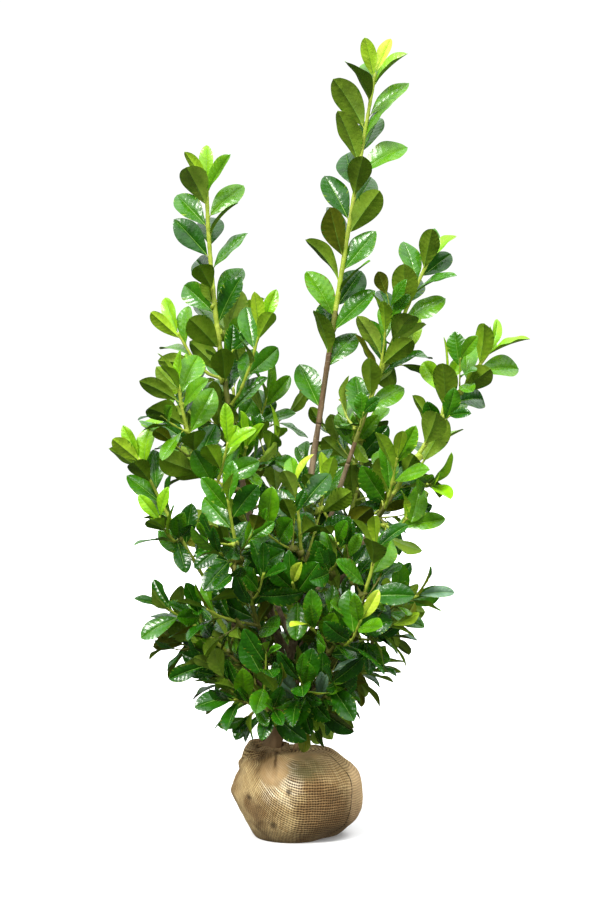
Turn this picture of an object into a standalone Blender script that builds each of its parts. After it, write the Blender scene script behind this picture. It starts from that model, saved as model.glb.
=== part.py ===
"""A cherry laurel shrub on its hessian-wrapped root ball, as a tree nursery sells it.

Metres, +Z up, +X to the right, -Y to the front. The origin is the middle of the root ball's flat underside.
A short leaning trunk rises from the ball and runs on into the leader. Boughs leave it on all sides, and each
ends where its mass of foliage begins. A mass is one solid: a stem, side twigs and leaves, all fused.
"""

import math
import random
from collections import namedtuple

import bmesh
import bpy
from mathutils import Matrix, Vector
from mathutils.bvhtree import BVHTree

# ---------------------------------------------------------------- driving dimensions
GAP = 0.0003  # kept between two pieces that touch

BALL_RADIUS = 0.152  # the root ball at its widest
BALL_WIDEST = 0.122  # height of that widest ring
BALL_BELOW = 0.153  # how far the round of the ball would reach below its widest ring; the underside cuts it
BALL_ABOVE = 0.093  # the same above
BALL_SQUARENESS = 2.4  # 2 is an ellipse, more is boxier
BALL_SEAT = 0.205  # height of the flat that the trunk stands on
BALL_RINGS, BALL_SIDES = 11, 26

# Bulges of the wrapped soil: (azimuth in degrees, height, spread in degrees, spread in height, how far out)
BULGES = (
    (197, 0.182, 26, 0.022, 0.013),
    (0, 0.184, 50, 0.026, -0.015),
    (0, 0.070, 40, 0.050, 0.008),
    (180, 0.040, 36, 0.045, -0.010),
    (300, 0.120, 26, 0.060, 0.006),
    (70, 0.130, 34, 0.060, 0.008),
    (130, 0.080, 30, 0.050, -0.007),
    (182, 0.158, 30, 0.018, -0.011),
    (184, 0.106, 26, 0.018, 0.009),
    (318, 0.010, 36, 0.022, -0.014),
)

TRUNK_FOOT = Vector((-0.064, -0.014, BALL_SEAT + GAP))
TRUNK_TOP = Vector((0.052, 0.030, 0.985))  # where the leader's foliage begins
TRUNK_PULLS = (Vector((-0.006, -0.002, 0.305)), Vector((0.010, 0.030, 0.740)))
TRUNK_RADIUS, TRUNK_TOP_RADIUS = 0.0185, 0.0066
FLARE, FLARE_HEIGHT = 0.009, 0.018
TRUNK_RINGS, TRUNK_SIDES = 14, 10
LEVEL_FOOT = 0.08  # the trunk is cut level at its foot and square to itself above this height

COLLAR_RADIUS, COLLAR_HEIGHT = 0.039, 0.022  # hessian gathered round the trunk's foot
COLLAR_FOLDS, COLLAR_FOLD_DEPTH = 7, 0.0045

BOUGH_SIDES, BOUGH_RINGS = 6, 6
STEM_RINGS = 7  # of the stem inside a mass
TWIG_SIDES, TWIG_RINGS = 3, 4
TIP_SHARE = 0.55  # of the foot's radius that a stem or twig keeps at its tip
TWIG_FOOT_RADIUS = 0.0036

LEAF_LENGTH, LEAF_WIDTH = 0.130, 0.061  # of a full-grown leaf
LEAF_THICKNESS = 0.0020
PETIOLE = 0.08  # share of a leaf's length
LEAF_SPACING = 0.030  # along a stem, between two leaves
OLD_SHARE, OLD_SPACING = 0.16, 3.2  # the oldest share of a stem is thinly leaved, at this wider spacing
LEAF_TURN = math.radians(137.5)  # from one leaf to the next round the stem
SPREAD_FIRST, SPREAD_STEP = 12, 8.5  # degrees from the stem to its first leaf, and the next ones' gain
SIZE_FIRST, SIZE_STEP = 0.78, 0.06  # a tip's first leaf against a full-grown one, and the next ones' gain
TO_SIDES = 0.20  # how far the spiral is drawn from the front and the back towards the sides
CURL = 0.50  # how far a leaf bends back along its length, in radians
FOLD_LEAST, FOLD_MOST, FOLD_YOUNG = 0.16, 0.44, 0.15  # half a leaf's fold, and a young leaf's more
TWIST = 1.20  # how far a leaf at a shoot's side turns on its stalk, to show its face to the front or the back
TWIST_OTHER_RIGHT, TWIST_OTHER_LEFT = 0.14, 0.48  # the share of leaves that turn the other way, on each side
YOUNG_WIDTH, WIDTH_STEP = 0.74, 0.08  # a tip's first leaf's width, and the next ones' gain
LEAF_TRIES = 9
ROOT_DEPTH = 0.0045  # a leaf's root is on its stem's axis, this far below the point where the leaf leaves it
CLEAR = 0.0011  # spare space kept round a leaf that is being tried

# One shoot: where it leaves the trunk (a height; the leader runs on from the trunk's tip, and a sucker
# rises from the ball beside the trunk), a point that it passes half-way, its tip, its foot's radius,
# the share of its length that is bare bough (0 where it is all foliage), its leaves' size against a
# full-grown one, how many side twigs the rule gives it and how long, its named forks, each a share of
# the shoot's length and the fork's tip, the most that its leaves spread from their stem, in degrees,
# and its own seed.
Shoot = namedtuple("Shoot", "name rise via tip radius bare leaf twigs reach forks spread seed")
LEADER, SUCKER = "leader", "sucker"

SHOOTS = (
    Shoot("leader", LEADER, (0.116, 0.030, 1.405), (0.189, 0.026, 1.833), 0.0073, 0.00, 1.08, 0, 0.000,
          (), 30, 851),
    Shoot("left_tall", 0.372, (-0.165, 0.040, 1.023), (-0.219, 0.024, 1.566), 0.0085, 0.36, 1.00, 0, 0.000,
          ((0.56, (-0.289, 0.038, 1.206)), (0.50, (-0.085, -0.040, 1.215)), (0.39, (-0.037, -0.046, 0.962)),
           (0.66, (-0.154, 0.126, 1.257)), (0.42, (-0.248, 0.106, 1.099)), (0.40, (-0.120, -0.081, 0.929))),
          38, 945),
    Shoot("right_mid", 0.455, (0.147, -0.016, 0.964), (0.312, -0.032, 1.372), 0.0070, 0.42, 1.00, 0, 0.000,
          ((0.62, (0.210, -0.070, 1.215)), (0.52, (0.105, 0.030, 1.045)), (0.70, (0.280, 0.097, 1.171))),
          34, 133),
    Shoot("right_outer", 0.400, (0.218, -0.047, 0.802), (0.458, -0.048, 1.158), 0.0070, 0.42, 1.00, 0, 0.000,
          ((0.64, (0.314, -0.131, 0.841)), (0.45, (0.232, -0.164, 0.904)), (0.74, (0.357, -0.031, 1.096)),
           (0.45, (0.260, -0.097, 0.763)), (0.60, (0.330, 0.060, 0.950))), 39, 990),
    Shoot("left_outer", 0.322, (-0.222, -0.045, 0.620), (-0.373, -0.082, 0.905), 0.0058, 0.44, 0.86, 0, 0.000,
          ((0.66, (-0.319, -0.148, 0.769)),), 30, 431),
    Shoot("left_mid", 0.425, (-0.205, -0.069, 0.814), (-0.277, -0.114, 1.076), 0.0058, 0.46, 0.95, 0, 0.000,
          ((0.51, (-0.161, -0.139, 0.940)), (0.66, (-0.308, -0.029, 0.978))), 48, 712),
    Shoot("back_left", 0.462, (-0.115, 0.189, 0.741), (-0.163, 0.272, 1.083), 0.0064, 0.34, 1.00, 4, 0.150,
          (), 40, 229),
    Shoot("back_right", 0.500, (0.126, 0.176, 0.743), (0.170, 0.259, 0.984), 0.0062, 0.32, 1.00, 4, 0.148,
          (), 60, 562),
    Shoot("front_left", 0.338, (-0.106, -0.120, 0.561), (-0.158, -0.242, 0.811), 0.0056, 0.00, 0.92, 3, 0.130,
          ((0.55, (-0.075, -0.246, 0.643)),), 54, 904),
    Shoot("front_mid", 0.535, (0.011, -0.118, 0.646), (-0.004, -0.183, 0.839), 0.0050, 0.00, 0.92, 2, 0.155,
          ((0.30, (-0.010, -0.215, 0.620)), (0.36, (0.095, -0.200, 0.670))), 50, 632),
    Shoot("front_right", 0.345, (0.115, -0.141, 0.505), (0.183, -0.204, 0.703), 0.0054, 0.00, 0.92, 3, 0.128,
          ((0.41, (0.145, -0.269, 0.540)),), 54, 517),
    Shoot("back_mid", 0.385, (0.037, 0.201, 0.550), (0.047, 0.346, 0.781), 0.0054, 0.00, 1.00, 4, 0.163,
          (), 52, 314),
    Shoot("low_left", 0.298, (-0.180, -0.010, 0.450), (-0.314, -0.050, 0.548), 0.0050, 0.00, 0.90, 4, 0.120,
          (), 38, 852),
    Shoot("low_right", SUCKER, (0.110, -0.020, 0.450), (0.286, -0.097, 0.581), 0.0056, 0.00, 0.90, 4, 0.120,
          (), 54, 463),
    Shoot("low_right_back", 0.305, (0.120, 0.070, 0.400), (0.237, 0.180, 0.480), 0.0048, 0.00, 0.90, 3, 0.130,
          (), 52, 988),
    Shoot("low_front_left", 0.285, (-0.089, -0.093, 0.325), (-0.147, -0.185, 0.347), 0.0046, 0.00, 0.88, 1, 0.108,
          ((0.50, (-0.190, -0.120, 0.420)), (0.42, (-0.069, -0.262, 0.466))), 58, 124),
    Shoot("low_front", 0.296, (0.049, -0.088, 0.360), (0.085, -0.206, 0.385), 0.0046, 0.00, 0.88, 1, 0.110,
          ((0.48, (0.005, -0.229, 0.405)), (0.48, (0.051, -0.156, 0.345))), 58, 105),
    Shoot("low_back_left", 0.312, (-0.117, 0.104, 0.394), (-0.205, 0.200, 0.480), 0.0048, 0.00, 0.90, 4, 0.120,
          (), 56, 1741),
    Shoot("low_back", 0.290, (0.017, 0.111, 0.339), (0.062, 0.230, 0.405), 0.0046, 0.00, 0.90, 4, 0.119,
          (), 48, 841),
)
SUCKER_FOOT = Vector((-0.006, -0.018, BALL_SEAT + GAP))
HIDDEN = 0.24  # share of a shoot with no bough that has no leaves, inside the crown
SPACE_RADIUS = 0.215  # a mass keeps within this of its own stem
SPACE_SLACK = 0.045  # and may lean this far past half-way to another's

COLOURS = {
    "hessian": (0.36, 0.25, 0.14),
    "bark": (0.16, 0.11, 0.07),
    "foliage": (0.05, 0.16, 0.02),
}


# ---------------------------------------------------------------- paths and tubes
def through(start, via, tip, share):
    """A smooth bend from start to tip that passes via half-way."""
    pull = 2 * via - (start + tip) / 2
    rest = 1 - share
    return rest * rest * start + 2 * rest * share * pull + share * share * tip


def trunk_point(share):
    rest = 1 - share
    first, second = TRUNK_PULLS
    return (rest ** 3 * TRUNK_FOOT + 3 * rest * rest * share * first
            + 3 * rest * share * share * second + share ** 3 * TRUNK_TOP)


def trunk_radius(share):
    height = trunk_point(share).z - TRUNK_FOOT.z
    return (TRUNK_RADIUS + (TRUNK_TOP_RADIUS - TRUNK_RADIUS) * share ** 0.62
            + FLARE * math.exp(-height / FLARE_HEIGHT))


def trunk_at_height(height):
    """The point of the trunk's axis at this height, found by halving."""
    low, high = 0.0, 1.0
    for _ in range(30):
        middle = (low + high) / 2
        low, high = (middle, high) if trunk_point(middle).z < height else (low, middle)
    return trunk_point(low)


def frames(points, level_foot):
    """A tangent, and two vectors across it that turn as little as they can, at each point of a path. Over the
    first level_foot metres the tangent turns from straight up, so that the foot is level."""
    found = []
    across = None
    for i, point in enumerate(points):
        tangent = (points[min(i + 1, len(points) - 1)] - points[max(i - 1, 0)]).normalized()
        if level_foot:
            climbed = min((point - points[0]).length / level_foot, 1)
            tangent = Vector((0, 0, 1)).lerp(tangent, climbed).normalized()
        if across is None:
            across = tangent.cross(Vector((0.31, 0.95, 0.05))).normalized()
        across = (across - tangent * across.dot(tangent)).normalized()
        found.append((tangent, across, tangent.cross(across)))
    return found


def tube_faces(rings, sides):
    """The faces of a closed tube: its sides, ring by ring, and its two flat ends."""
    faces = []
    for ring in range(rings - 1):
        for k in range(sides):
            a, b = ring * sides + k, ring * sides + (k + 1) % sides
            faces.append((a, b, b + sides, a + sides))
    last = (rings - 1) * sides
    faces.append(tuple(reversed(range(sides))))
    faces.append(tuple(last + k for k in range(sides)))
    return faces


def tube(points, radii, sides, level_foot=0.0):
    """(vertices, faces) of a closed tube along points, with flat ends."""
    vertices = []
    for point, radius, (_, across, third) in zip(points, radii, frames(points, level_foot)):
        for k in range(sides):
            turn = 2 * math.pi * k / sides
            vertices.append(point + radius * (math.cos(turn) * across + math.sin(turn) * third))
    return vertices, tube_faces(len(points), sides)


def steps(low, high, count):
    return [low + (high - low) * k / (count - 1) for k in range(count)]


class Stem:
    """A tapering stem along a bend, from a foot to its tip, straight between its knots."""

    def __init__(self, name, start, via, tip, foot_radius, knots):
        self.name, self.foot_radius, self.knots = name, foot_radius, knots
        self.points = [through(start, via, tip, share) for share in knots]
        self.length = sum((b - a).length for a, b in zip(self.points, self.points[1:]))

    def at(self, share):
        for k in range(len(self.knots) - 1):
            if share <= self.knots[k + 1] or k == len(self.knots) - 2:
                part = (share - self.knots[k]) / (self.knots[k + 1] - self.knots[k])
                return self.points[k].lerp(self.points[k + 1], part)

    def radius(self, share):
        return self.foot_radius * (1 + (TIP_SHARE - 1) * share)

    def direction(self, share):
        return (self.at(min(share + 0.01, 1)) - self.at(max(share - 0.01, 0))).normalized()

    def across(self, share):
        """Two vectors across the stem at this share of its length."""
        tangent = self.direction(share)
        one = tangent.cross(Vector((0.31, 0.95, 0.05))).normalized()
        return one, tangent.cross(one)

    def solid(self, low, high, sides, more=0.0):
        """The stem between two shares of its length, cut square at both ends."""
        shares = [low, *(knot for knot in self.knots if low + 1e-4 < knot < high - 1e-4), high]
        return tube([self.at(s) for s in shares], [self.radius(s) + more for s in shares], sides)


# ---------------------------------------------------------------- leaves
Leaf = namedtuple("Leaf", "root along across up length width curl fold age stem")


def blade(share):
    """Half the blade's width, as a share of its widest, along the leaf. It is broadest past the middle."""
    if share <= PETIOLE:
        return 0.035
    along = (share - PETIOLE) / (1 - PETIOLE)
    return max(math.sin(math.pi * min(along, 1) ** 1.28), 0) ** 0.70


def leaf_point(leaf, share, side, above=0.0):
    """A point on the leaf: share runs from root to tip, side from one edge, -1, to the other, 1."""
    bend = leaf.curl * share
    reach = leaf.length * math.sin(bend) / leaf.curl
    drop = leaf.length * (1 - math.cos(bend)) / leaf.curl
    normal = leaf.up * math.cos(bend) + leaf.along * math.sin(bend)
    out = side * blade(share) * leaf.width / 2
    return (leaf.root + leaf.along * reach - leaf.up * drop + leaf.across * (out * math.cos(leaf.fold))
            + normal * (abs(out) * math.sin(leaf.fold) + above))


LEAF_WIDEST = 0.60
LEAF_BROADER = 1.24  # the solid's few straight edges cut the outline short, so it is this much broader


def leaf_solid(leaf, more=0.0):
    """(vertices, faces) of a thin closed leaf, folded along its midrib. more thickens it."""
    half = LEAF_THICKNESS / 2 + more
    side = LEAF_BROADER + 20 * more
    vertices = [leaf_point(leaf, 0, 0), leaf_point(leaf, LEAF_WIDEST, -side), leaf_point(leaf, 1, 0),
                leaf_point(leaf, LEAF_WIDEST, side), leaf_point(leaf, LEAF_WIDEST, 0, half),
                leaf_point(leaf, LEAF_WIDEST, 0, -half)]
    faces = [(4, 1, 0), (4, 2, 1), (4, 3, 2), (4, 0, 3), (5, 0, 1), (5, 1, 2), (5, 2, 3), (5, 3, 0)]
    return vertices, faces


def try_leaf(stem, share, azimuth, spread, size, age, rng):
    """A leaf at this share of its stem. A young one, near the tip, is narrow and folded up."""
    tangent = stem.direction(share)
    one, two = stem.across(share)
    azimuth -= TO_SIDES * math.sin(2 * azimuth)
    out = math.cos(azimuth) * one + math.sin(azimuth) * two
    along = (math.cos(spread) * tangent + math.sin(spread) * out).normalized()
    up = math.sin(spread) * tangent - math.cos(spread) * out
    up = (up - along * up.dot(along)).normalized()
    other = TWIST_OTHER_RIGHT if out.x > 0 else TWIST_OTHER_LEFT
    turn = TWIST * abs(out.x) ** 1.2 * (-1 if rng.random() < other else 1) + rng.uniform(-0.35, 0.35)
    up = Matrix.Rotation(turn, 3, along) @ up
    length = LEAF_LENGTH * size
    return Leaf(stem.at(share) - tangent * ROOT_DEPTH, along, along.cross(up), up, length,
                LEAF_WIDTH * size * rng.uniform(0.90, 1.10) * min(1, YOUNG_WIDTH + WIDTH_STEP * age),
                rng.uniform(0.3, 1.5) * CURL,
                rng.uniform(FOLD_LEAST, FOLD_MOST) + FOLD_YOUNG * (age < 3), age, stem)


# ---------------------------------------------------------------- room in the crown
class Room:
    """What fills the crown so far, to keep each new piece clear of the rest."""

    def __init__(self):
        self.taken = []

    def add(self, vertices, faces, owner):
        centre = sum(vertices, Vector()) / len(vertices)
        radius = max((v - centre).length for v in vertices)
        self.taken.append((centre, radius, BVHTree.FromPolygons(vertices, faces), owner))

    def free(self, vertices, faces, spared):
        """True if nothing crosses these faces but the pieces of the owners named in spared."""
        centre = sum(vertices, Vector()) / len(vertices)
        radius = max((v - centre).length for v in vertices)
        tree = None
        for other_centre, other_radius, other_tree, owner in self.taken:
            if owner in spared or (centre - other_centre).length > radius + other_radius:
                continue
            tree = tree or BVHTree.FromPolygons(vertices, faces)
            if tree.overlap(other_tree):
                return False
        return True


class Mass:
    """One mass of foliage: its stem, its twigs and its leaves."""

    def __init__(self, shoot):
        start = {LEADER: TRUNK_TOP, SUCKER: SUCKER_FOOT}.get(shoot.rise) or trunk_at_height(shoot.rise)
        self.shoot, self.name = shoot, shoot.name
        self.rng = random.Random(shoot.seed)
        knots = steps(shoot.bare, 1, STEM_RINGS)
        if shoot.bare:
            knots = steps(0, shoot.bare, BOUGH_RINGS)[:-1] + knots
        self.stem = Stem(shoot.name, start, Vector(shoot.via), Vector(shoot.tip), shoot.radius, knots)
        self.twigs, self.leaves = [], []
        self.line = [self.stem.at(shoot.bare + (1 - shoot.bare) * k / 9) for k in range(10)]

    def distance(self, point):
        return min((point - q).length for q in self.line)


def in_own_space(mass, masses, points):
    for point in points:
        own = mass.distance(point)
        if own > SPACE_RADIUS or point.z < 0.03:
            return False
        if any(other.distance(point) < own - SPACE_SLACK for other in masses if other is not mass):
            return False
    return True


def add_twig(mass, masses, room, share, tip, lift, check_space=True):
    """A side twig from the mass's stem to tip, bowed by lift, if there is room for it."""
    start = mass.stem.at(share)
    via = (start + tip) / 2 + lift
    name = f"{mass.name}_twig_{len(mass.twigs)}_{share:.3f}"
    foot_radius = min(TWIG_FOOT_RADIUS, 0.8 * mass.stem.radius(share))
    twig = Stem(name, start, via, tip, foot_radius, steps(0, 1, TWIG_RINGS))
    vertices, faces = twig.solid(0.12, 1, TWIG_SIDES, CLEAR)
    if check_space and not in_own_space(mass, masses, [tip]):
        return
    if room.free(vertices, faces, (mass.stem.name,)):
        room.add(*twig.solid(0, 1, TWIG_SIDES), name)
        mass.twigs.append(twig)


def grow_twigs(mass, masses, room, count, reach, rng):
    """Side twigs that leave the stem in a spiral and bend up."""
    shoot = mass.shoot
    azimuth = rng.uniform(0, 2 * math.pi)
    for k in range(count):
        low = shoot.bare or HIDDEN
        share = low + (1 - low) * (0.04 + 0.64 * (k + rng.uniform(0.2, 0.8)) / count)
        for _ in range(LEAF_TRIES):
            azimuth += LEAF_TURN
            one, two = mass.stem.across(share)
            out = math.cos(azimuth) * one + math.sin(azimuth) * two
            spread = math.radians(rng.uniform(48, 68))
            heading = math.cos(spread) * mass.stem.direction(share) + math.sin(spread) * out
            length = reach * rng.uniform(0.8, 1.15) * (1.1 - 0.3 * k / count)
            tip = mass.stem.at(share) + length * heading + Vector((0, 0, 0.12 * length))
            before = len(mass.twigs)
            add_twig(mass, masses, room, share, tip, out * 0.1 * length)
            if len(mass.twigs) > before:
                break


def grow_leaves(mass, masses, room, stem, low, spacing, rng, spared):
    """Leaves in a spiral from a stem's tip down to the share low, each turned till it has room."""
    azimuth = rng.uniform(0, 2 * math.pi)
    back = 0.0015
    number = 0
    while back < stem.length * (1 - low):
        share = 1 - back / stem.length
        size = mass.shoot.leaf * min(1, SIZE_FIRST + SIZE_STEP * number) * rng.uniform(0.88, 1.06)
        for attempt in range(LEAF_TRIES):
            turn = azimuth + rng.uniform(-0.25, 0.25) + 0.42 * ((attempt + 1) // 2) * (-1) ** attempt
            spread = min(mass.shoot.spread, SPREAD_FIRST + SPREAD_STEP * number) + rng.uniform(-8, 9)
            leaf = try_leaf(stem, share, turn, math.radians(spread), size * (1 - 0.03 * attempt), number, rng)
            ends = [leaf_point(leaf, 1, 0), leaf_point(leaf, 0.6, 1), leaf_point(leaf, 0.6, -1)]
            if in_own_space(mass, masses, ends) and room.free(*leaf_solid(leaf, CLEAR / 2), spared):
                room.add(*leaf_solid(leaf), mass.name)
                mass.leaves.append(leaf)
                break
        azimuth += LEAF_TURN
        old = share - low < OLD_SHARE * (1 - low)
        back += spacing * min(1, 0.35 + 0.16 * number) * rng.uniform(0.88, 1.12) * (OLD_SPACING if old else 1)
        number += 1


def grow():
    """The whole plant: every mass with its stem, twigs and leaves."""
    masses = [Mass(shoot) for shoot in SHOOTS]
    room = Room()
    room.add(*root_ball_solid(BALL_RINGS, BALL_SIDES), "root_ball")
    room.add(*trunk_solid(0.001), "trunk")
    for mass in masses:
        room.add(*mass.stem.solid(0, 1, BOUGH_SIDES), mass.name)
    for mass in masses:
        for share, tip in mass.shoot.forks:
            add_twig(mass, masses, room, share, Vector(tip), Vector((0, 0, -0.03)), check_space=False)
    for mass in masses:
        grow_twigs(mass, masses, room, mass.shoot.twigs, mass.shoot.reach, mass.rng)
    for mass in masses:
        for stem in (mass.stem, *mass.twigs):
            low = 0.30
            if stem is mass.stem:
                low = mass.shoot.bare + 0.03 if mass.shoot.bare or mass.shoot.rise == LEADER else HIDDEN
            grow_leaves(mass, masses, room, stem, low, LEAF_SPACING, mass.rng, (stem.name,))
    return masses, room


# ---------------------------------------------------------------- solids
def ball_radius(height, azimuth):
    """The root ball's radius at a height and an azimuth in degrees, bulges included."""
    rise = height - BALL_WIDEST
    span = BALL_ABOVE if rise > 0 else BALL_BELOW
    plain = BALL_RADIUS * max(1 - (abs(rise) / span) ** BALL_SQUARENESS, 0) ** (1 / BALL_SQUARENESS)
    for centre, level, wide, tall, out in BULGES:
        away = (azimuth - centre + 180) % 360 - 180
        plain += out * math.exp(-((away / wide) ** 2) - ((height - level) / tall) ** 2)
    return plain


def root_ball_solid(rings, sides, more=0.0):
    """Rings from the flat underside to the flat that the trunk stands on."""
    vertices = []
    for ring in range(rings):
        share = ring / (rings - 1)
        height = BALL_SEAT * (1 - math.cos(math.pi * (0.12 + 0.88 * share))) / 2
        low = BALL_SEAT * (1 - math.cos(math.pi * 0.12)) / 2
        height = (height - low) * BALL_SEAT / (BALL_SEAT - low)
        for k in range(sides):
            turn = 360 * k / sides
            out = ball_radius(height, turn) + more
            place = math.radians(turn)
            lift = (more if ring == rings - 1 else 0) - (more if ring == 0 else 0)
            vertices.append(Vector((out * math.cos(place), out * math.sin(place), height + lift)))
    return vertices, tube_faces(rings, sides)


def trunk_solid(more=0.0, below=0.0):
    """The trunk, more stout by more. A cutter runs straight on down by below."""
    shares = [(k / (TRUNK_RINGS - 1)) ** 1.7 for k in range(TRUNK_RINGS)]
    points = [trunk_point(share) for share in shares]
    radii = [trunk_radius(share) + more for share in shares]
    vertices, faces = tube(points, radii, TRUNK_SIDES, LEVEL_FOOT)
    if below:
        vertices = [v - Vector((0, 0, below)) for v in vertices[:TRUNK_SIDES]] + vertices
        faces = tube_faces(TRUNK_RINGS + 1, TRUNK_SIDES)
    return vertices, faces


def collar_solid():
    """Gathered hessian: a fluted cone round the trunk's foot, later cut clear of the trunk and the ball."""
    sides = COLLAR_FOLDS * 4
    vertices = []
    levels = (
        (BALL_SEAT - 0.012, 1.0),
        (BALL_SEAT + 0.35 * COLLAR_HEIGHT, 0.86),
        (BALL_SEAT + COLLAR_HEIGHT, 0.66),
    )
    for height, share in levels:
        lean = trunk_at_height(max(height, TRUNK_FOOT.z))
        for k in range(sides):
            turn = 2 * math.pi * k / sides
            out = COLLAR_RADIUS * share + COLLAR_FOLD_DEPTH * math.cos(COLLAR_FOLDS * turn)
            rise = 0.005 * math.cos(2 * turn + 1) if height > BALL_SEAT + 0.5 * COLLAR_HEIGHT else 0
            place = (lean.x + out * math.cos(turn), lean.y + out * math.sin(turn), height + rise)
            vertices.append(Vector(place))
    return vertices, tube_faces(len(levels), sides)


# ---------------------------------------------------------------- Blender objects
def material(name):
    made = bpy.data.materials.get(name) or bpy.data.materials.new(name)
    made.use_nodes = True
    shader = made.node_tree.nodes["Principled BSDF"]
    shader.inputs["Base Color"].default_value = (*COLOURS[name], 1)
    shader.inputs["Roughness"].default_value = 0.35 if name == "foliage" else 0.85
    return made


def add_object(name, solid, slot=None, collection=None):
    vertices, faces = solid
    mesh = bpy.data.meshes.new(name)
    mesh.from_pydata([tuple(v) for v in vertices], [], faces)
    mesh.update()
    made = bpy.data.objects.new(name, mesh)
    (collection or bpy.context.scene.collection).objects.link(made)
    if slot:
        mesh.materials.append(material(slot))
    return made


def remove_objects(objects):
    for each in list(objects):
        bpy.data.objects.remove(each)


def apply_boolean(target, operation, collection, solver="EXACT"):
    """Joins a collection to target or cuts it away, and removes the collection's objects."""
    modifier = target.modifiers.new(operation, "BOOLEAN")
    modifier.operation = operation
    modifier.operand_type = "COLLECTION"
    modifier.collection = collection
    modifier.solver = solver
    graph = bpy.context.evaluated_depsgraph_get()
    made = bpy.data.meshes.new_from_object(target.evaluated_get(graph))
    target.modifiers.remove(modifier)
    target.data = made
    remove_objects(collection.objects)
    bpy.data.collections.remove(collection)


def new_collection(name):
    made = bpy.data.collections.new(name)
    bpy.context.scene.collection.children.link(made)
    return made


def cut(target, *solids):
    cutters = new_collection(target.name + "_cutters")
    for index, solid in enumerate(solids):
        add_object(f"{target.name}_cutter_{index}", solid, collection=cutters)
    apply_boolean(target, "DIFFERENCE", cutters)


def drop_scraps(target):
    """Keeps only the largest of a mesh's separate pieces."""
    shape = bmesh.new()
    shape.from_mesh(target.data)
    left, pieces = set(shape.verts), []
    while left:
        piece, edge = set(), [left.pop()]
        while edge:
            vertex = edge.pop()
            piece.add(vertex)
            near = {link.other_vert(vertex) for link in vertex.link_edges} & left
            left -= near
            edge.extend(near)
        pieces.append(piece)
    pieces.sort(key=len)
    for piece in pieces[:-1]:
        bmesh.ops.delete(shape, geom=list(piece), context="VERTS")
    shape.to_mesh(target.data)
    shape.free()
    if len(pieces) > 1:
        print(target.name, "dropped", [len(piece) for piece in pieces[:-1]])


def make_bough(mass):
    """The bare limb from the trunk to just short of its mass."""
    end = mass.shoot.bare - GAP / mass.stem.length
    bough = add_object(f"bough_{mass.name}", mass.stem.solid(0, end, BOUGH_SIDES), "bark")
    cut(bough, trunk_solid(GAP))


def make_mass(mass):
    """The mass's stem, with its twigs and leaves fused on."""
    first = mass.shoot.bare
    if mass.shoot.rise == LEADER:
        first = GAP / mass.stem.length
    foliage = add_object(f"foliage_{mass.name}", mass.stem.solid(first, 1, TWIG_SIDES), "foliage")
    joined = new_collection(foliage.name + "_joined")
    for index, twig in enumerate(mass.twigs):
        add_object(f"{mass.name}_twig_{index}", twig.solid(0, 1, TWIG_SIDES), "foliage", joined)
    for index, leaf in enumerate(mass.leaves):
        add_object(f"{mass.name}_leaf_{index}", leaf_solid(leaf), "foliage", joined)
    apply_boolean(foliage, "UNION", joined)
    drop_scraps(foliage)
    if mass.shoot.rise == SUCKER:
        cut(foliage, root_ball_solid(BALL_RINGS, BALL_SIDES, GAP))
    elif mass.shoot.rise != LEADER and not mass.shoot.bare:
        cut(foliage, trunk_solid(GAP))


def main():
    remove_objects(bpy.data.objects)
    masses, _ = grow()
    add_object("root_ball", root_ball_solid(BALL_RINGS, BALL_SIDES), "hessian")
    add_object("trunk", trunk_solid(), "bark")
    collar = add_object("hessian_collar", collar_solid(), "hessian")
    cut(collar, root_ball_solid(BALL_RINGS, BALL_SIDES, GAP))
    cut(collar, trunk_solid(GAP, 0.008))
    drop_scraps(collar)
    for mass in masses:
        if mass.shoot.bare:
            make_bough(mass)
        make_mass(mass)
    print("leaves", sum(len(mass.leaves) for mass in masses))


main()
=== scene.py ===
"""The looks of a cherry laurel shrub on its hessian-wrapped root ball.

Metres, +Z up, +X to the right, -Y to the front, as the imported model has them. The crown grows by the same
rule and from the same seeds as the model's solids, is carried on to finer twigs within the same reach, and
gets leaves with veins, a midrib and a stalk. A mesh with the bark's relief stands for the trunk and boughs,
and two of folded cloth for the root ball and the hessian gathered on top of it.
"""

import math
import random
from collections import namedtuple

import bpy
import numpy as np
from mathutils import Matrix, Vector, noise
from mathutils.bvhtree import BVHTree


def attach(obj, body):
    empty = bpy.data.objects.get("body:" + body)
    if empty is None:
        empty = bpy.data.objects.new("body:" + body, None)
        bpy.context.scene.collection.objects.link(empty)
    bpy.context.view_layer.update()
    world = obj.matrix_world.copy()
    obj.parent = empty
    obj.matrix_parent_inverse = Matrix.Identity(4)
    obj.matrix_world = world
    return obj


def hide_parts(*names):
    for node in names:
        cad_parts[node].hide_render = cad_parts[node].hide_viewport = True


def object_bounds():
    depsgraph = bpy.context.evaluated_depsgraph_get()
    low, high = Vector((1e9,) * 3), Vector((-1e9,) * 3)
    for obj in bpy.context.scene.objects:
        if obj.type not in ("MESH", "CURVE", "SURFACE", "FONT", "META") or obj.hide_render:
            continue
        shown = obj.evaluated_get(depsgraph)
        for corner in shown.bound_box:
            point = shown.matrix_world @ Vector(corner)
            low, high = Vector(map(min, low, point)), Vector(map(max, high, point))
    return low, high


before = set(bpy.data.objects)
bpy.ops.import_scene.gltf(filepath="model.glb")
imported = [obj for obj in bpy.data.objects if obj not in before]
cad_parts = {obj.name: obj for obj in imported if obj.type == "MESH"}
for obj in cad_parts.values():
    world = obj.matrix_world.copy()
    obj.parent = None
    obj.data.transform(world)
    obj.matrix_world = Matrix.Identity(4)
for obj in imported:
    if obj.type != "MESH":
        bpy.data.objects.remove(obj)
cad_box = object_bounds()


# ---------------------------------------------------------------- driving dimensions
GAP = 0.0003  # kept between two pieces that touch

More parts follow.
